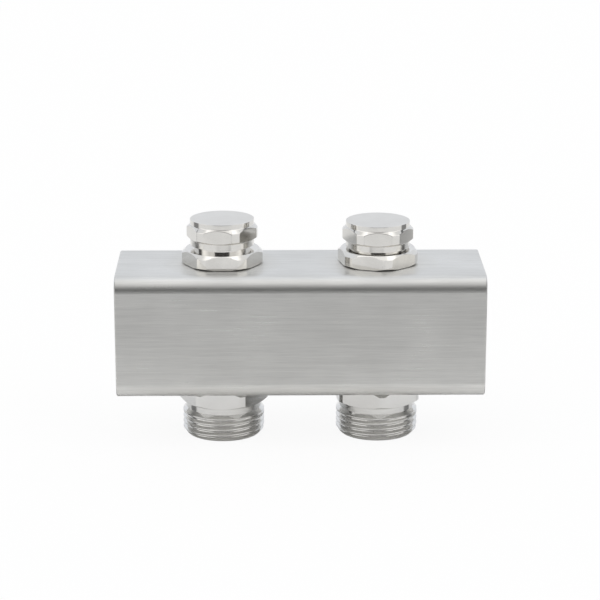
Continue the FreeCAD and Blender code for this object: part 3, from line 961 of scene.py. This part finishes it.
STEEL_TINT = (0.68, 0.675, 0.655)
WELD_TINT = (0.58, 0.565, 0.53)
NICKEL_TINT = (0.70, 0.685, 0.655)
OUTLET_TINT = (0.715, 0.708, 0.692)
BRASS_TINT = (0.72, 0.53, 0.27)
SPRING_TINT = (0.46, 0.46, 0.45)
RUBBER_TINT = (0.028, 0.028, 0.030)
FIBRE_TINT = (0.20, 0.19, 0.175)

BAR_STEEL = BrushedSteel("brushed_bar_steel", STEEL_TINT)
WELD_STEEL = BrushedSteel("weld_steel", WELD_TINT, roughness=0.36, lines=900.0)
RUBBER = SoftSeal("black_rubber", RUBBER_TINT, roughness=0.5, grains=4000.0, contrast=0.35)
FIBRE = SoftSeal("grey_fibre", FIBRE_TINT, roughness=0.75, grains=2600.0, contrast=0.45)


class Valve:
    """Places and finishes that go with a valve's number along the bar."""

    numbers = (1, 2)

    @staticmethod
    def axis(valve: int) -> Triple:
        """A point on a valve's upright axis, in metres."""
        low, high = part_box(f"spindle_{valve}")
        return ((low[0] + high[0]) / 2, (low[1] + high[1]) / 2, 0.0)

    @staticmethod
    def turned(name: str, valve: int, tint: Tint, **looks: float) -> TurnedMetal:
        """A finish with rings about the axis of one valve."""
        return TurnedMetal(f"{name}_{valve}", tint, centre=Valve.axis(valve), **looks)

    @staticmethod
    def nickel(valve: int) -> TurnedMetal:
        """Bright nickel plate on the pieces of one valve."""
        return Valve.turned("bright_nickel", valve, NICKEL_TINT)

    @staticmethod
    def outlet_nickel(valve: int) -> TurnedMetal:
        """Whiter nickel plate on the outlet of one valve."""
        return Valve.turned("outlet_nickel", valve, OUTLET_TINT)

    @staticmethod
    def faced_nickel(valve: int) -> TurnedMetal:
        """Nickel plate of a valve's cap, with the turned face on top of it."""
        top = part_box(f"valve_cap_{valve}")[1][2]
        return Valve.turned("faced_nickel", valve, NICKEL_TINT, faced_at=top)

    @staticmethod
    def brass(valve: int) -> TurnedMetal:
        """Bare turned brass inside one valve."""
        return Valve.turned("turned_brass", valve, BRASS_TINT, roughness=0.26, contrast=0.08)

    @staticmethod
    def spring_steel(valve: int) -> TurnedMetal:
        """Dull steel of the ring and screw of one valve."""
        return Valve.turned("spring_steel", valve, SPRING_TINT, roughness=0.34, contrast=0.08)


class NickelPiece:
    """A plated piece that each valve has one of, modelled once about the Z axis, standing on level 0.

    Attributes:
        title: name of the copies, before the valve's number.
        node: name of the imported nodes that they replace, before the valve's number.
        body: body that a copy rides on, with a gap where it has the valve's number.
        turns: turn of the copy on each valve, in degrees.
        edge: width of its broken edges.
    """

    title: str
    node: str
    body: str
    turns: tuple[float, ...]
    hexagon: Hexagon
    thread: Thread
    edge: float

    def outside(self) -> list[Point]:
        """Turned outline without the hexagon, from level 0 up."""
        raise NotImplementedError

    def bore(self) -> list[Point]:
        """Turned outline of the bore, from below up."""
        raise NotImplementedError

    def finish(self, valve: int) -> TurnedMetal:
        """Finish of the piece on one valve."""
        return Valve.nickel(valve)

    def pattern(self) -> Solid:
        """Turn the piece, add its hexagon, bore it and cut its thread.

        Returns:
            The piece, with its lowest point at level 0.
        """
        piece = Bench.turn(self.outside())
        Bench.combine(piece, Bench.hexagon(self.hexagon), Cut.JOIN)
        Bench.machine(piece, self.bore(), self.edge, self.thread)
        return piece

    def build(self) -> list[Solid]:
        """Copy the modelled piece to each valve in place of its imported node.

        Returns:
            The copies, dressed and riding on their bodies.
        """
        pattern = self.pattern()
        made = []
        for valve, turn in zip(Valve.numbers, self.turns):
            node = f"{self.node}_{valve}"
            across, deep, _ = Valve.axis(valve)
            place = (across, deep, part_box(node)[0][2])
            piece = Bench.copy(pattern, f"{self.title}_{valve}", place, (0, 0, turn))
            self.finish(valve).dress(piece)
            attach(piece, self.body.format(valve))
            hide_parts(node)
            made.append(piece)
        bpy.data.objects.remove(pattern)
        return made


@dataclass
class OutletNipples(NickelPiece):
    """Outlet nipples: a male thread and an inner cone below, a hexagon, and the valve seat inside the bar."""

    title: str = "threaded_nipple"
    node: str = "outlet_nipple"
    body: str = "manifold"
    turns: tuple[float, ...] = (-3.7, -24.8)
    thread: Thread = Thread(
        crest=13.2205, depth=1.162, pitch=1.814, flank=27.5, start=-1.814, turns=5.25,
        side=ThreadSide.MALE, run_out=0.5,
    )
    thread_length: float = 8.9
    lead: float = 1.4
    runout: float = 1.1
    neck: float = 12.1
    hexagon: Hexagon = Hexagon(
        flats=26.0, corner=14.5, base=10.9, top=16.55, lower_face=12.75, upper_face=13.25
    )
    spigot: float = 12.0
    spigot_top: float = 24.3
    tube: float = 10.0
    seat: float = 28.8
    seat_bevel: float = 1.0
    cone_mouth: float = 10.2
    cone_angle: float = 15.0
    tail_bore: float = 9.1
    tail_depth: float = 12.0
    flow_bore: float = 7.5
    seat_break: float = 0.5
    edge: float = 0.12

    def outside(self) -> list[Point]:
        """Turned outline from the mouth up to the seat.

        Returns:
            Radius and level of each corner.
        """
        crest = self.thread.crest
        return [
            (crest - self.lead, 0.0),
            (crest, self.lead),
            (crest, self.thread_length - self.runout),
            (self.neck, self.thread_length),
            (self.neck, self.hexagon.middle()),
            (self.spigot, self.hexagon.middle()),
            (self.spigot, self.spigot_top - self.seat_bevel),
            (self.spigot - self.seat_bevel, self.spigot_top),
            (self.tube, self.spigot_top),
            (self.tube, self.seat - self.seat_bevel),
            (self.tube - self.seat_bevel, self.seat),
        ]

    def bore(self) -> list[Point]:
        """Bore from below the mouth to above the seat.

        Returns:
            Radius and level of each corner.
        """
        widening = math.tan(math.radians(self.cone_angle))
        cone_end = (self.cone_mouth - self.tail_bore) / widening
        return [
            (self.cone_mouth + OVERRUN * widening, -OVERRUN),
            (self.tail_bore, cone_end),
            (self.tail_bore, self.tail_depth),
            (self.flow_bore, self.tail_depth + self.tail_bore - self.flow_bore),
            (self.flow_bore, self.seat - self.seat_break),
            (self.flow_bore + self.seat_break + OVERRUN, self.seat + OVERRUN),
        ]

    def finish(self, valve: int) -> TurnedMetal:
        """Nickel of the outlets."""
        return Valve.outlet_nickel(valve)


@dataclass
class ValveBonnets(NickelPiece):
    """Bonnets: guide nose and spigot in the bar, a hexagon on it, and a threaded neck for the cap."""

    title: str = "threaded_bonnet"
    node: str = "valve_bonnet"
    body: str = "manifold"
    turns: tuple[float, ...] = (0.0, -18.5)
    nose: float = 7.0
    shoulder: float = 2.8
    spigot: float = 10.0
    hexagon: Hexagon = Hexagon(
        flats=24.0, corner=13.0, base=10.05, top=14.7, lower_face=12.25, upper_face=11.8
    )
    thread: Thread = Thread(
        crest=9.0, depth=0.92, pitch=1.5, flank=30.0, start=16.3, turns=5,
        side=ThreadSide.MALE, lead_in=0.6,
    )
    rim: float = 21.2
    chamfer: float = 0.8
    stem_bore: float = 4.55
    stem_bore_top: float = 10.35
    spindle_bore: float = 6.0
    groove: float = 6.7
    groove_base: float = 18.9
    groove_top: float = 19.8
    edge: float = 0.1

    def outside(self) -> list[Point]:
        """Turned outline from the nose up to the rim of the neck.

        Returns:
            Radius and level of each corner.
        """
        neck = self.thread.crest
        return [
            (self.nose - self.chamfer, 0.0),
            (self.nose, self.chamfer),
            (self.nose, self.shoulder),
            (self.spigot - self.chamfer, self.shoulder),
            (self.spigot, self.shoulder + self.chamfer),
            (self.spigot, self.hexagon.middle()),
            (neck, self.hexagon.middle()),
            (neck, self.rim - self.chamfer),
            (neck - self.chamfer, self.rim),
        ]

    def bore(self) -> list[Point]:
        """Bore for the stem, the spindle's head and its stop ring."""
        return [
            (self.stem_bore, -OVERRUN),
            (self.stem_bore, self.stem_bore_top),
            (self.spindle_bore, self.stem_bore_top),
            (self.spindle_bore, self.groove_base),
            (self.groove, self.groove_base),
            (self.groove, self.groove_top),
            (self.spindle_bore, self.groove_top),
            (self.spindle_bore, self.rim + OVERRUN),
        ]


@dataclass
class ScrewCaps(NickelPiece):
    """Caps: a round top and skirt, a hexagon between them, and a thread inside for the neck."""

    title: str = "turned_cap"
    node: str = "valve_cap"
    body: str = "cap_{}"
    turns: tuple[float, ...] = (-7.0, -2.0)
    radius: float = 10.25
    height: float = 8.4
    edge: float = 0.15
    hexagon: Hexagon = Hexagon(
        flats=21.0, corner=11.4, base=1.71, top=7.3, lower_face=9.75, upper_face=9.75
    )
    ceiling: float = 6.9
    thread: Thread = Thread(
        crest=9.1, depth=0.45, pitch=1.5, flank=30.0, start=-1.0, turns=4, side=ThreadSide.FEMALE
    )

    def outside(self) -> list[Point]:
        """Round body from the rim of the skirt to the top."""
        return [(self.radius, 0.0), (self.radius, self.height)]

    def bore(self) -> list[Point]:
        """Blind bore for the neck."""
        return [(self.thread.crest, -OVERRUN), (self.thread.crest, self.ceiling)]

    def finish(self, valve: int) -> TurnedMetal:
        """Nickel with a duller face on top."""
        return Valve.faced_nickel(valve)


class BarEnd:
    """Places and finishes that go with an end of the bar."""

    @staticmethod
    def node(end: End) -> str:
        """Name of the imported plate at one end."""
        return f"end_plate_{end.name.lower()}"

    @staticmethod
    def face(end: End) -> Triple:
        """Middle of the plate's outer face, in metres."""
        low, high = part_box(BarEnd.node(end))
        return (high[0] if end is End.RIGHT else low[0], (low[1] + high[1]) / 2, (low[2] + high[2]) / 2)

    @staticmethod
    def turned_steel(end: End) -> TurnedMetal:
        """Steel turned about the long axis of the bar."""
        looks = {"roughness": 0.3, "contrast": 0.06, "turn": (0.0, QUARTER_CIRCLE, 0.0)}
        return TurnedMetal(f"turned_end_{end.name.lower()}", STEEL_TINT, centre=BarEnd.face(end), **looks)


class EndPiece:
    """A piece that each end of the bar has one of, modelled once, with +Z pointing out of the bar.

    Attributes:
        title: name of the copies, before the name of the end.
        level: where the piece's level 0 lies above the plate's outer face.
        in_place_of_plate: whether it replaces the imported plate.
    """

    title: str
    level: float
    in_place_of_plate: bool

    def pattern(self) -> Solid:
        """Model the piece about the Z axis."""
        raise NotImplementedError

    def finish(self, end: End) -> Finish:
        """Finish of the piece at one end."""
        raise NotImplementedError

    def build(self) -> list[Solid]:
        """Copy the modelled piece to both ends.

        Returns:
            The copies, dressed and riding on the bar.
        """
        pattern = self.pattern()
        made = []
        for end in End:
            across, deep, up = BarEnd.face(end)
            place = (across + end.value * self.level * MM, deep, up)
            turn = (0.0, QUARTER_CIRCLE * end.value, 0.0)
            piece = Bench.copy(pattern, f"{self.title}_{end.name.lower()}", place, turn)
            self.finish(end).dress(piece)
            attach(piece, "manifold")
            if self.in_place_of_plate:
                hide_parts(BarEnd.node(end))
            made.append(piece)
        bpy.data.objects.remove(pattern)
        return made


@dataclass
class EndPlates(EndPiece):
    """Plates in the ends of the bar, each with a socket behind it that has a female pipe thread."""

    title: str = "threaded_end"
    level: float = 0.0
    in_place_of_plate: bool = True
    side: float = 35.8
    bend: float = 2.9
    thickness: float = 3.0
    socket: float = 17.3455
    depth: float = 13.0
    lead: float = 1.5
    thread: Thread = Thread(
        crest=15.1455, depth=1.479, pitch=2.309, flank=27.5, start=-15.0, turns=8, side=ThreadSide.FEMALE
    )
    edge: float = 0.15

    def finish(self, end: End) -> Finish:
        """Turned steel."""
        return BarEnd.turned_steel(end)

    def bore(self) -> list[Point]:
        """Bore from behind the socket to the mouth of its thread.

        Returns:
            Radius and level of each corner.
        """
        crest = self.thread.crest
        mouth = (crest + self.lead + OVERRUN, OVERRUN)
        return [(crest, -self.depth - OVERRUN), (crest, -self.lead), mouth]

    def pattern(self) -> Solid:
        """Extrude the plate, add its socket, bore it and cut its thread.

        Returns:
            The plate, with its outer face at level 0.
        """
        plate = Bench.plate(self.side, self.bend)
        Bench.edit(plate)
        bpy.ops.mesh.extrude_region_move(TRANSFORM_OT_translate={"value": (0, 0, -self.thickness * MM)})
        Bench.close(plate)
        inside_plate = -self.thickness / 2
        Bench.combine(plate, Bench.turn([(self.socket, -self.depth), (self.socket, inside_plate)]), Cut.JOIN)
        Bench.machine(plate, self.bore(), self.edge, self.thread)
        return plate


@dataclass
class WeldBeads(EndPiece):
    """Rippled weld bead round the outer face of each end plate.

    Attributes:
        side: size across the middle of the bead.
        bend: radius of its corners.
        radius: half the bead's width.
        roundness: Blender's resolution of its round section.
        step: distance between two points of the bead.
        ripple: points from one ripple to the next.
        depth: share of the radius that a ripple takes.
    """

    title: str = "end_weld"
    level: float = 0.02
    in_place_of_plate: bool = False
    side: float = 35.7
    bend: float = 2.85
    radius: float = 0.62
    roundness: int = 3
    step: float = 0.3
    ripple: int = 4
    depth: float = 0.16

    def finish(self, end: End) -> Finish:
        """Weld steel at both ends."""
        return WELD_STEEL

    def pattern(self) -> Solid:
        """Divide the outline of a plate, make it a curve with a round section, and ripple it.

        Returns:
            The bead, with its middle at level 0.
        """
        bead = Bench.plate(self.side, self.bend)
        long_run = self.side - 2 * self.bend
        Bench.edit(bead, Select.EDGES)
        bpy.ops.mesh.delete(type="ONLY_FACE")
        bpy.ops.mesh.select_all(action="DESELECT")
        bpy.ops.object.mode_set(mode="OBJECT")
        corners = bead.data.vertices
        for edge in bead.data.edges:
            start, stop = (corners[index].co for index in edge.vertices)
            edge.select = (stop - start).length > long_run * MM / 2
        bpy.ops.object.mode_set(mode="EDIT")
        bpy.ops.mesh.subdivide(number_cuts=round(long_run / self.step) - 1)
        Bench.pick(bead)
        bpy.ops.object.convert(target="CURVE")
        for number, point in enumerate(bead.data.splines[0].points):
            point.radius = 1 - self.depth * (number % self.ripple) / (self.ripple - 1)
        bead.data.bevel_depth = self.radius * MM
        bead.data.bevel_resolution = self.roundness
        bpy.ops.object.convert(target="MESH")
        Bench.smooth(bead)
        return bead


@dataclass
class Studio:
    """White studio round the object, and the camera of the photograph.

    Angles are in degrees: turns count from the camera's side, to the left and right alike.

    Attributes:
        lens: focal length for a 36 mm sensor.
        camera_at: where the camera stands, in metres.
        aimed_at: what it looks at, in metres.
        floor_size: side of the floor, in metres.
        floor_white: colour of the floor.
        floor_roughness: roughness of the floor.
        floor_glow: share of plain white that the camera sees in the floor.
        softbox_size: side of the lamp above, in metres.
        softbox_at: where that lamp hangs, in metres.
        softbox_power: its power, in watts.
        room_turn: half width of the dark room that the camera stands in, at the floor.
        room_taper: how much narrower each half gets for each degree that the room rises.
        room_fade: from where to where the dark of that room fades upwards.
        room_level: its brightness.
        front_level: brightness of the white screens beside the room.
        screen_turns: from where to where those screens fade to the white behind the object.
        corner_level: brightness of their lower ends next to the room.
        corner_turns: from where to where these ends brighten to the side.
        corner_rises: from where to where they brighten upwards.
        back_level: brightness of the white behind the object.
        back_tint: colour of that white.
        top_level: brightness of the white above the room.
        top_turn: half width of that white.
        flag_turns: from where to where the dark flags at both sides go.
        flag_height: how high the flags go.
        flag_level: their brightness.
        blur: half width of the edges between dark and bright.
        lane: distance in front of the object, in metres, and how dark the painted shade is that mirrors see
            on the floor there: a dark lane painted on the floor for the dark room.
        lane_sides: distances to the side, in metres, between which the near part of that painted lane fades.
        lane_widens: distances in front, in metres, between which the painted lane gets as wide as the room.
        mirror_dark: colour of the painted shade that mirrors see on the floor, where it is darkest.
        mirror_at: place on a valve that looks past the side flags, aside of and ahead of its axis, in metres.
        shadow_turns: from where to where mirrors see a painted shadow on the floor below a flag.
        shadow_sides: distances to the side, in metres, between which that part of the floor, with its painted
            shadow, starts.
        shadow_level: how dark they see that painted shadow.
    """

    lens: float = 137.84
    camera_at: Triple = (-0.0095, -0.7160, 0.24605)
    aimed_at: Triple = (0.0, 0.0, 0.0441)
    floor_size: float = 8.0
    floor_white: Tint = (0.95, 0.945, 0.935)
    floor_roughness: float = 0.9
    floor_glow: float = 0.92
    softbox_size: float = 1.2
    softbox_at: Triple = (0.0, 0.1, 1.3)
    softbox_power: float = 0.4
    room_turn: float = 34.0
    room_taper: float = 0.25
    room_fade: Point = (14.0, 78.0)
    room_level: float = 0.06
    front_level: float = 1.52
    screen_turns: Point = (82.0, 92.0)
    corner_level: float = 1.05
    corner_turns: Point = (55.0, 75.0)
    corner_rises: Point = (22.0, 38.0)
    back_level: float = 0.93
    back_tint: Tint = (0.97, 1.0, 1.05)
    top_level: float = 1.05
    top_turn: float = 55.0
    flag_turns: Point = (93.0, 113.0)
    flag_height: float = 40.0
    flag_level: float = 0.12
    blur: float = 3.0
    # Painted shade on the floor that only mirrors see: a dark lane in front of the object.
    lane: tuple[Point, ...] = (
        (0.07, 0.0),
        (0.1, 0.32),
        (0.17, 0.32),
        (0.195, 0.42),
        (0.205, 0.42),
        (0.22, 0.0),
        (0.4, 0.0),
        (0.5, 0.85),
    )
    lane_sides: Point = (0.085, 0.1)
    lane_widens: Point = (0.22, 0.4)
    # Colour of the painted shade that mirrors see on the floor.
    mirror_dark: Tint = (0.03, 0.03, 0.03)
    mirror_at: Point = (0.009, 0.0075)
    # Painted shadow on the floor below each side flag, seen only by mirrors.
    shadow_turns: Point = (92.0, 121.0)
    shadow_sides: Point = (0.05, 0.06)
    shadow_level: float = 0.72

    def build(self) -> None:
        """Set the stage, the light, the camera and the view."""
        self.floor()
        self.softbox()
        self.world()
        self.camera()
        bpy.context.scene.view_settings.view_transform = "Standard"

    def floor(self) -> None:
        """White floor that keeps the object's shadow; mirrors see painted shade and painted shadows on it."""
        Bench.clear()
        bpy.ops.mesh.primitive_plane_add(size=self.floor_size)
        floor = bpy.context.object
        floor.name = "studio_floor"
        made = bpy.data.materials.new("studio_white")
        surface = Surface(made)
        surface.drive("Roughness", self.floor_roughness)
        surface.drive("Specular IOR Level", 0.0)
        path = surface.add("LightPath").outputs
        # Glossy rays see painted shade on the floor: its colour darkens toward the dark tint where the mask
        # says.
        hidden = surface.math("MULTIPLY", self.mirror_mask(surface), path["Is Glossy Ray"])
        surface.drive("Base Color", surface.blend(hidden, self.floor_white, self.mirror_dark))
        white = surface.add("Emission", {"Strength": 1.0})
        glow = surface.math("MULTIPLY", path["Is Camera Ray"], self.floor_glow)
        mix = surface.add("MixShader", {0: glow, 1: surface.shader.outputs[0], 2: white.outputs[0]})
        surface.feed(made.node_tree.nodes["Material Output"].inputs["Surface"], mix.outputs[0])
        floor.data.materials.append(made)

    @staticmethod
    def ways(graph: Graph, coordinates: str) -> tuple[Socket, Socket, Socket]:
        """How far coordinates of one kind lie to either side, ahead and up."""
        across, deep, up = graph.apart(graph.add("TexCoord").outputs[coordinates])
        return graph.math("ABSOLUTE", across), graph.math("MULTIPLY", deep, -1.0), up

    def mirror_mask(self, graph: Graph) -> Socket:
        """Painted shade that mirrors see at each place of the floor: a dark lane for the room in front and a
        painted shadow below the flag at each side.

        Args:
            graph: the nodes of the floor's material.

        Returns:
            0 where the floor is white and 1 where its painted shade is darkest.
        """
        aside, ahead, _ = self.ways(graph, "Object")
        valve_aside = Valve.axis(Valve.numbers[-1])[0]
        mirror_aside = graph.math("SUBTRACT", aside, valve_aside + self.mirror_at[0])
        mirror_ahead = graph.math("SUBTRACT", ahead, self.mirror_at[1])
        turn = graph.heading(mirror_aside, mirror_ahead)
        reach = self.lane[-1][0]
        ramp = graph.add("ValToRGB", {0: graph.math("DIVIDE", ahead, reach)})
        steps = ramp.color_ramp.elements
        while len(steps) < len(self.lane):
            steps.new(1.0)
        for step, (distance, level) in zip(steps, self.lane):
            step.position = distance / reach
            step.color = (level, level, level, 1.0)
        narrow = graph.spread(aside, 1.0, 0.0, self.lane_sides)
        wide = graph.spread(ahead, 0.0, 1.0, self.lane_widens)
        # Painted reflection of the dark room: a dark lane on the floor in front, which only mirrors see.
        room = self.band(graph, turn, -HALF_CIRCLE, self.room_turn)
        across = graph.math("MULTIPLY", room, ramp.outputs[0])
        lane = graph.math("MULTIPLY", across, graph.math("MAXIMUM", narrow, wide))
        # Painted shadow on the floor below each side flag, beyond the ends of the bar, which only mirrors
        # see.
        beyond_bar = graph.spread(aside, 0.0, 1.0, self.shadow_sides)
        shadow = graph.math("MULTIPLY", self.band(graph, turn, *self.shadow_turns), beyond_bar)
        return graph.math("MAXIMUM", lane, graph.math("MULTIPLY", shadow, self.shadow_level))

    def softbox(self) -> None:
        """Large lamp above the object."""
        lamp = bpy.data.lights.new("softbox", "AREA")
        lamp.size = self.softbox_size
        lamp.energy = self.softbox_power
        holder = bpy.data.objects.new("softbox", lamp)
        holder.location = self.softbox_at
        bpy.context.scene.collection.objects.link(holder)

    def band(self, graph: Graph, value: Socket, low: float, high: float) -> Socket:
        """Mask that is 1 between two limits of a value and fades over the blur at both.

        Args:
            graph: the nodes.
            value: what is limited.
            low: lower limit.
            high: upper limit.

        Returns:
            The mask.
        """
        start, stop = ((limit - self.blur, limit + self.blur) for limit in (low, high))
        above = graph.spread(value, 0.0, 1.0, start, Ramp.SOFT)
        return graph.math("MULTIPLY", above, graph.spread(value, 1.0, 0.0, stop, Ramp.SOFT))

    def world(self) -> None:
        """White surroundings with the dark room behind the camera and a dark flag at each side."""
        world = bpy.data.worlds.new("studio_room")
        bpy.context.scene.world = world
        world.use_nodes = True
        graph = Graph(world.node_tree)
        aside, ahead, up = self.ways(graph, "Generated")
        turn = graph.heading(aside, ahead)
        rise = graph.math("DEGREES", graph.math("ARCSINE", up))
        tapered = graph.math("ADD", turn, graph.math("MULTIPLY", rise, self.room_taper))
        room_across = self.band(graph, tapered, -self.room_turn, self.room_turn)
        room_up = graph.spread(rise, 1.0, 0.0, self.room_fade, Ramp.SOFT)
        room = graph.math("MULTIPLY", room_across, room_up)
        flag_across = self.band(graph, turn, *self.flag_turns)
        flag = graph.math("MULTIPLY", flag_across, self.band(graph, rise, 0.0, self.flag_height))
        behind = graph.spread(turn, 0.0, 1.0, self.flag_turns)
        beside = graph.spread(turn, 0.0, 1.0, self.screen_turns)
        top_across = self.band(graph, turn, -HALF_CIRCLE, self.top_turn)
        top_up = graph.spread(rise, 0.0, 1.0, self.room_fade, Ramp.SOFT)
        above = graph.math("MULTIPLY", top_across, top_up)
        low_front = graph.spread(turn, self.corner_level, self.front_level, self.corner_turns)
        front = graph.spread(rise, low_front, self.front_level, self.corner_rises)
        low_white = graph.spread(beside, front, self.back_level)
        white = graph.spread(above, low_white, self.top_level)
        unlit = graph.spread(room, 1.0, self.room_level)
        dark = graph.math("MULTIPLY", unlit, graph.spread(flag, 1.0, self.flag_level))
        seen = graph.add("LightPath").outputs["Is Camera Ray"]
        around = graph.math("MULTIPLY", white, dark)
        sky = world.node_tree.nodes["Background"]
        graph.feed(sky.inputs["Strength"], graph.spread(seen, around, 1.0))
        tinted = graph.math("MULTIPLY", behind, graph.math("SUBTRACT", 1.0, seen))
        graph.feed(sky.inputs["Color"], graph.blend(tinted, (1.0, 1.0, 1.0), self.back_tint))

    def camera(self) -> None:
        """Camera at the photograph's angle and framing."""
        lens = bpy.data.cameras.new("photo_camera")
        lens.lens = self.lens
        holder = bpy.data.objects.new("photo_camera", lens)
        holder.location = self.camera_at
        aim = Vector(self.aimed_at) - Vector(self.camera_at)
        holder.rotation_euler = aim.to_track_quat("-Z", "Y").to_euler()
        bpy.context.scene.collection.objects.link(holder)
        bpy.context.scene.camera = holder


def dress_frame() -> None:
    """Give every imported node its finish; replaced nodes are hidden later."""
    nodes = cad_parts
    BAR_STEEL.dress(nodes["manifold_bar"])
    for end in End:
        BarEnd.turned_steel(end).dress(nodes[BarEnd.node(end)])
    for valve in Valve.numbers:
        for name in ("outlet_nipple", "valve_bonnet", "valve_cap"):
            Valve.nickel(valve).dress(nodes[f"{name}_{valve}"])
        for name in ("spindle", "disc_holder"):
            Valve.brass(valve).dress(nodes[f"{name}_{valve}"])
        for name in ("stop_ring", "disc_screw"):
            Valve.spring_steel(valve).dress(nodes[f"{name}_{valve}"])
        for name in ("stem_seals", "disc_washer", "bonnet_seal", "outlet_seal"):
            RUBBER.dress(nodes[f"{name}_{valve}"])
        FIBRE.dress(nodes[f"cap_seal_{valve}"])


def main() -> None:
    """Build the pieces in order."""
    logging.basicConfig(level=logging.INFO, format="%(name)s: %(message)s")
    dress_frame()
    LOG.info("dressed %d packed nodes", len(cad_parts))
    for assembly in (EndPlates(), WeldBeads(), OutletNipples(), ValveBonnets(), ScrewCaps()):
        for piece in assembly.build():
            LOG.info("built %s with %d faces", piece.name, len(piece.data.polygons))
    Studio().build()
    LOG.info("set the studio")


if __name__ == "__main__":
    main()
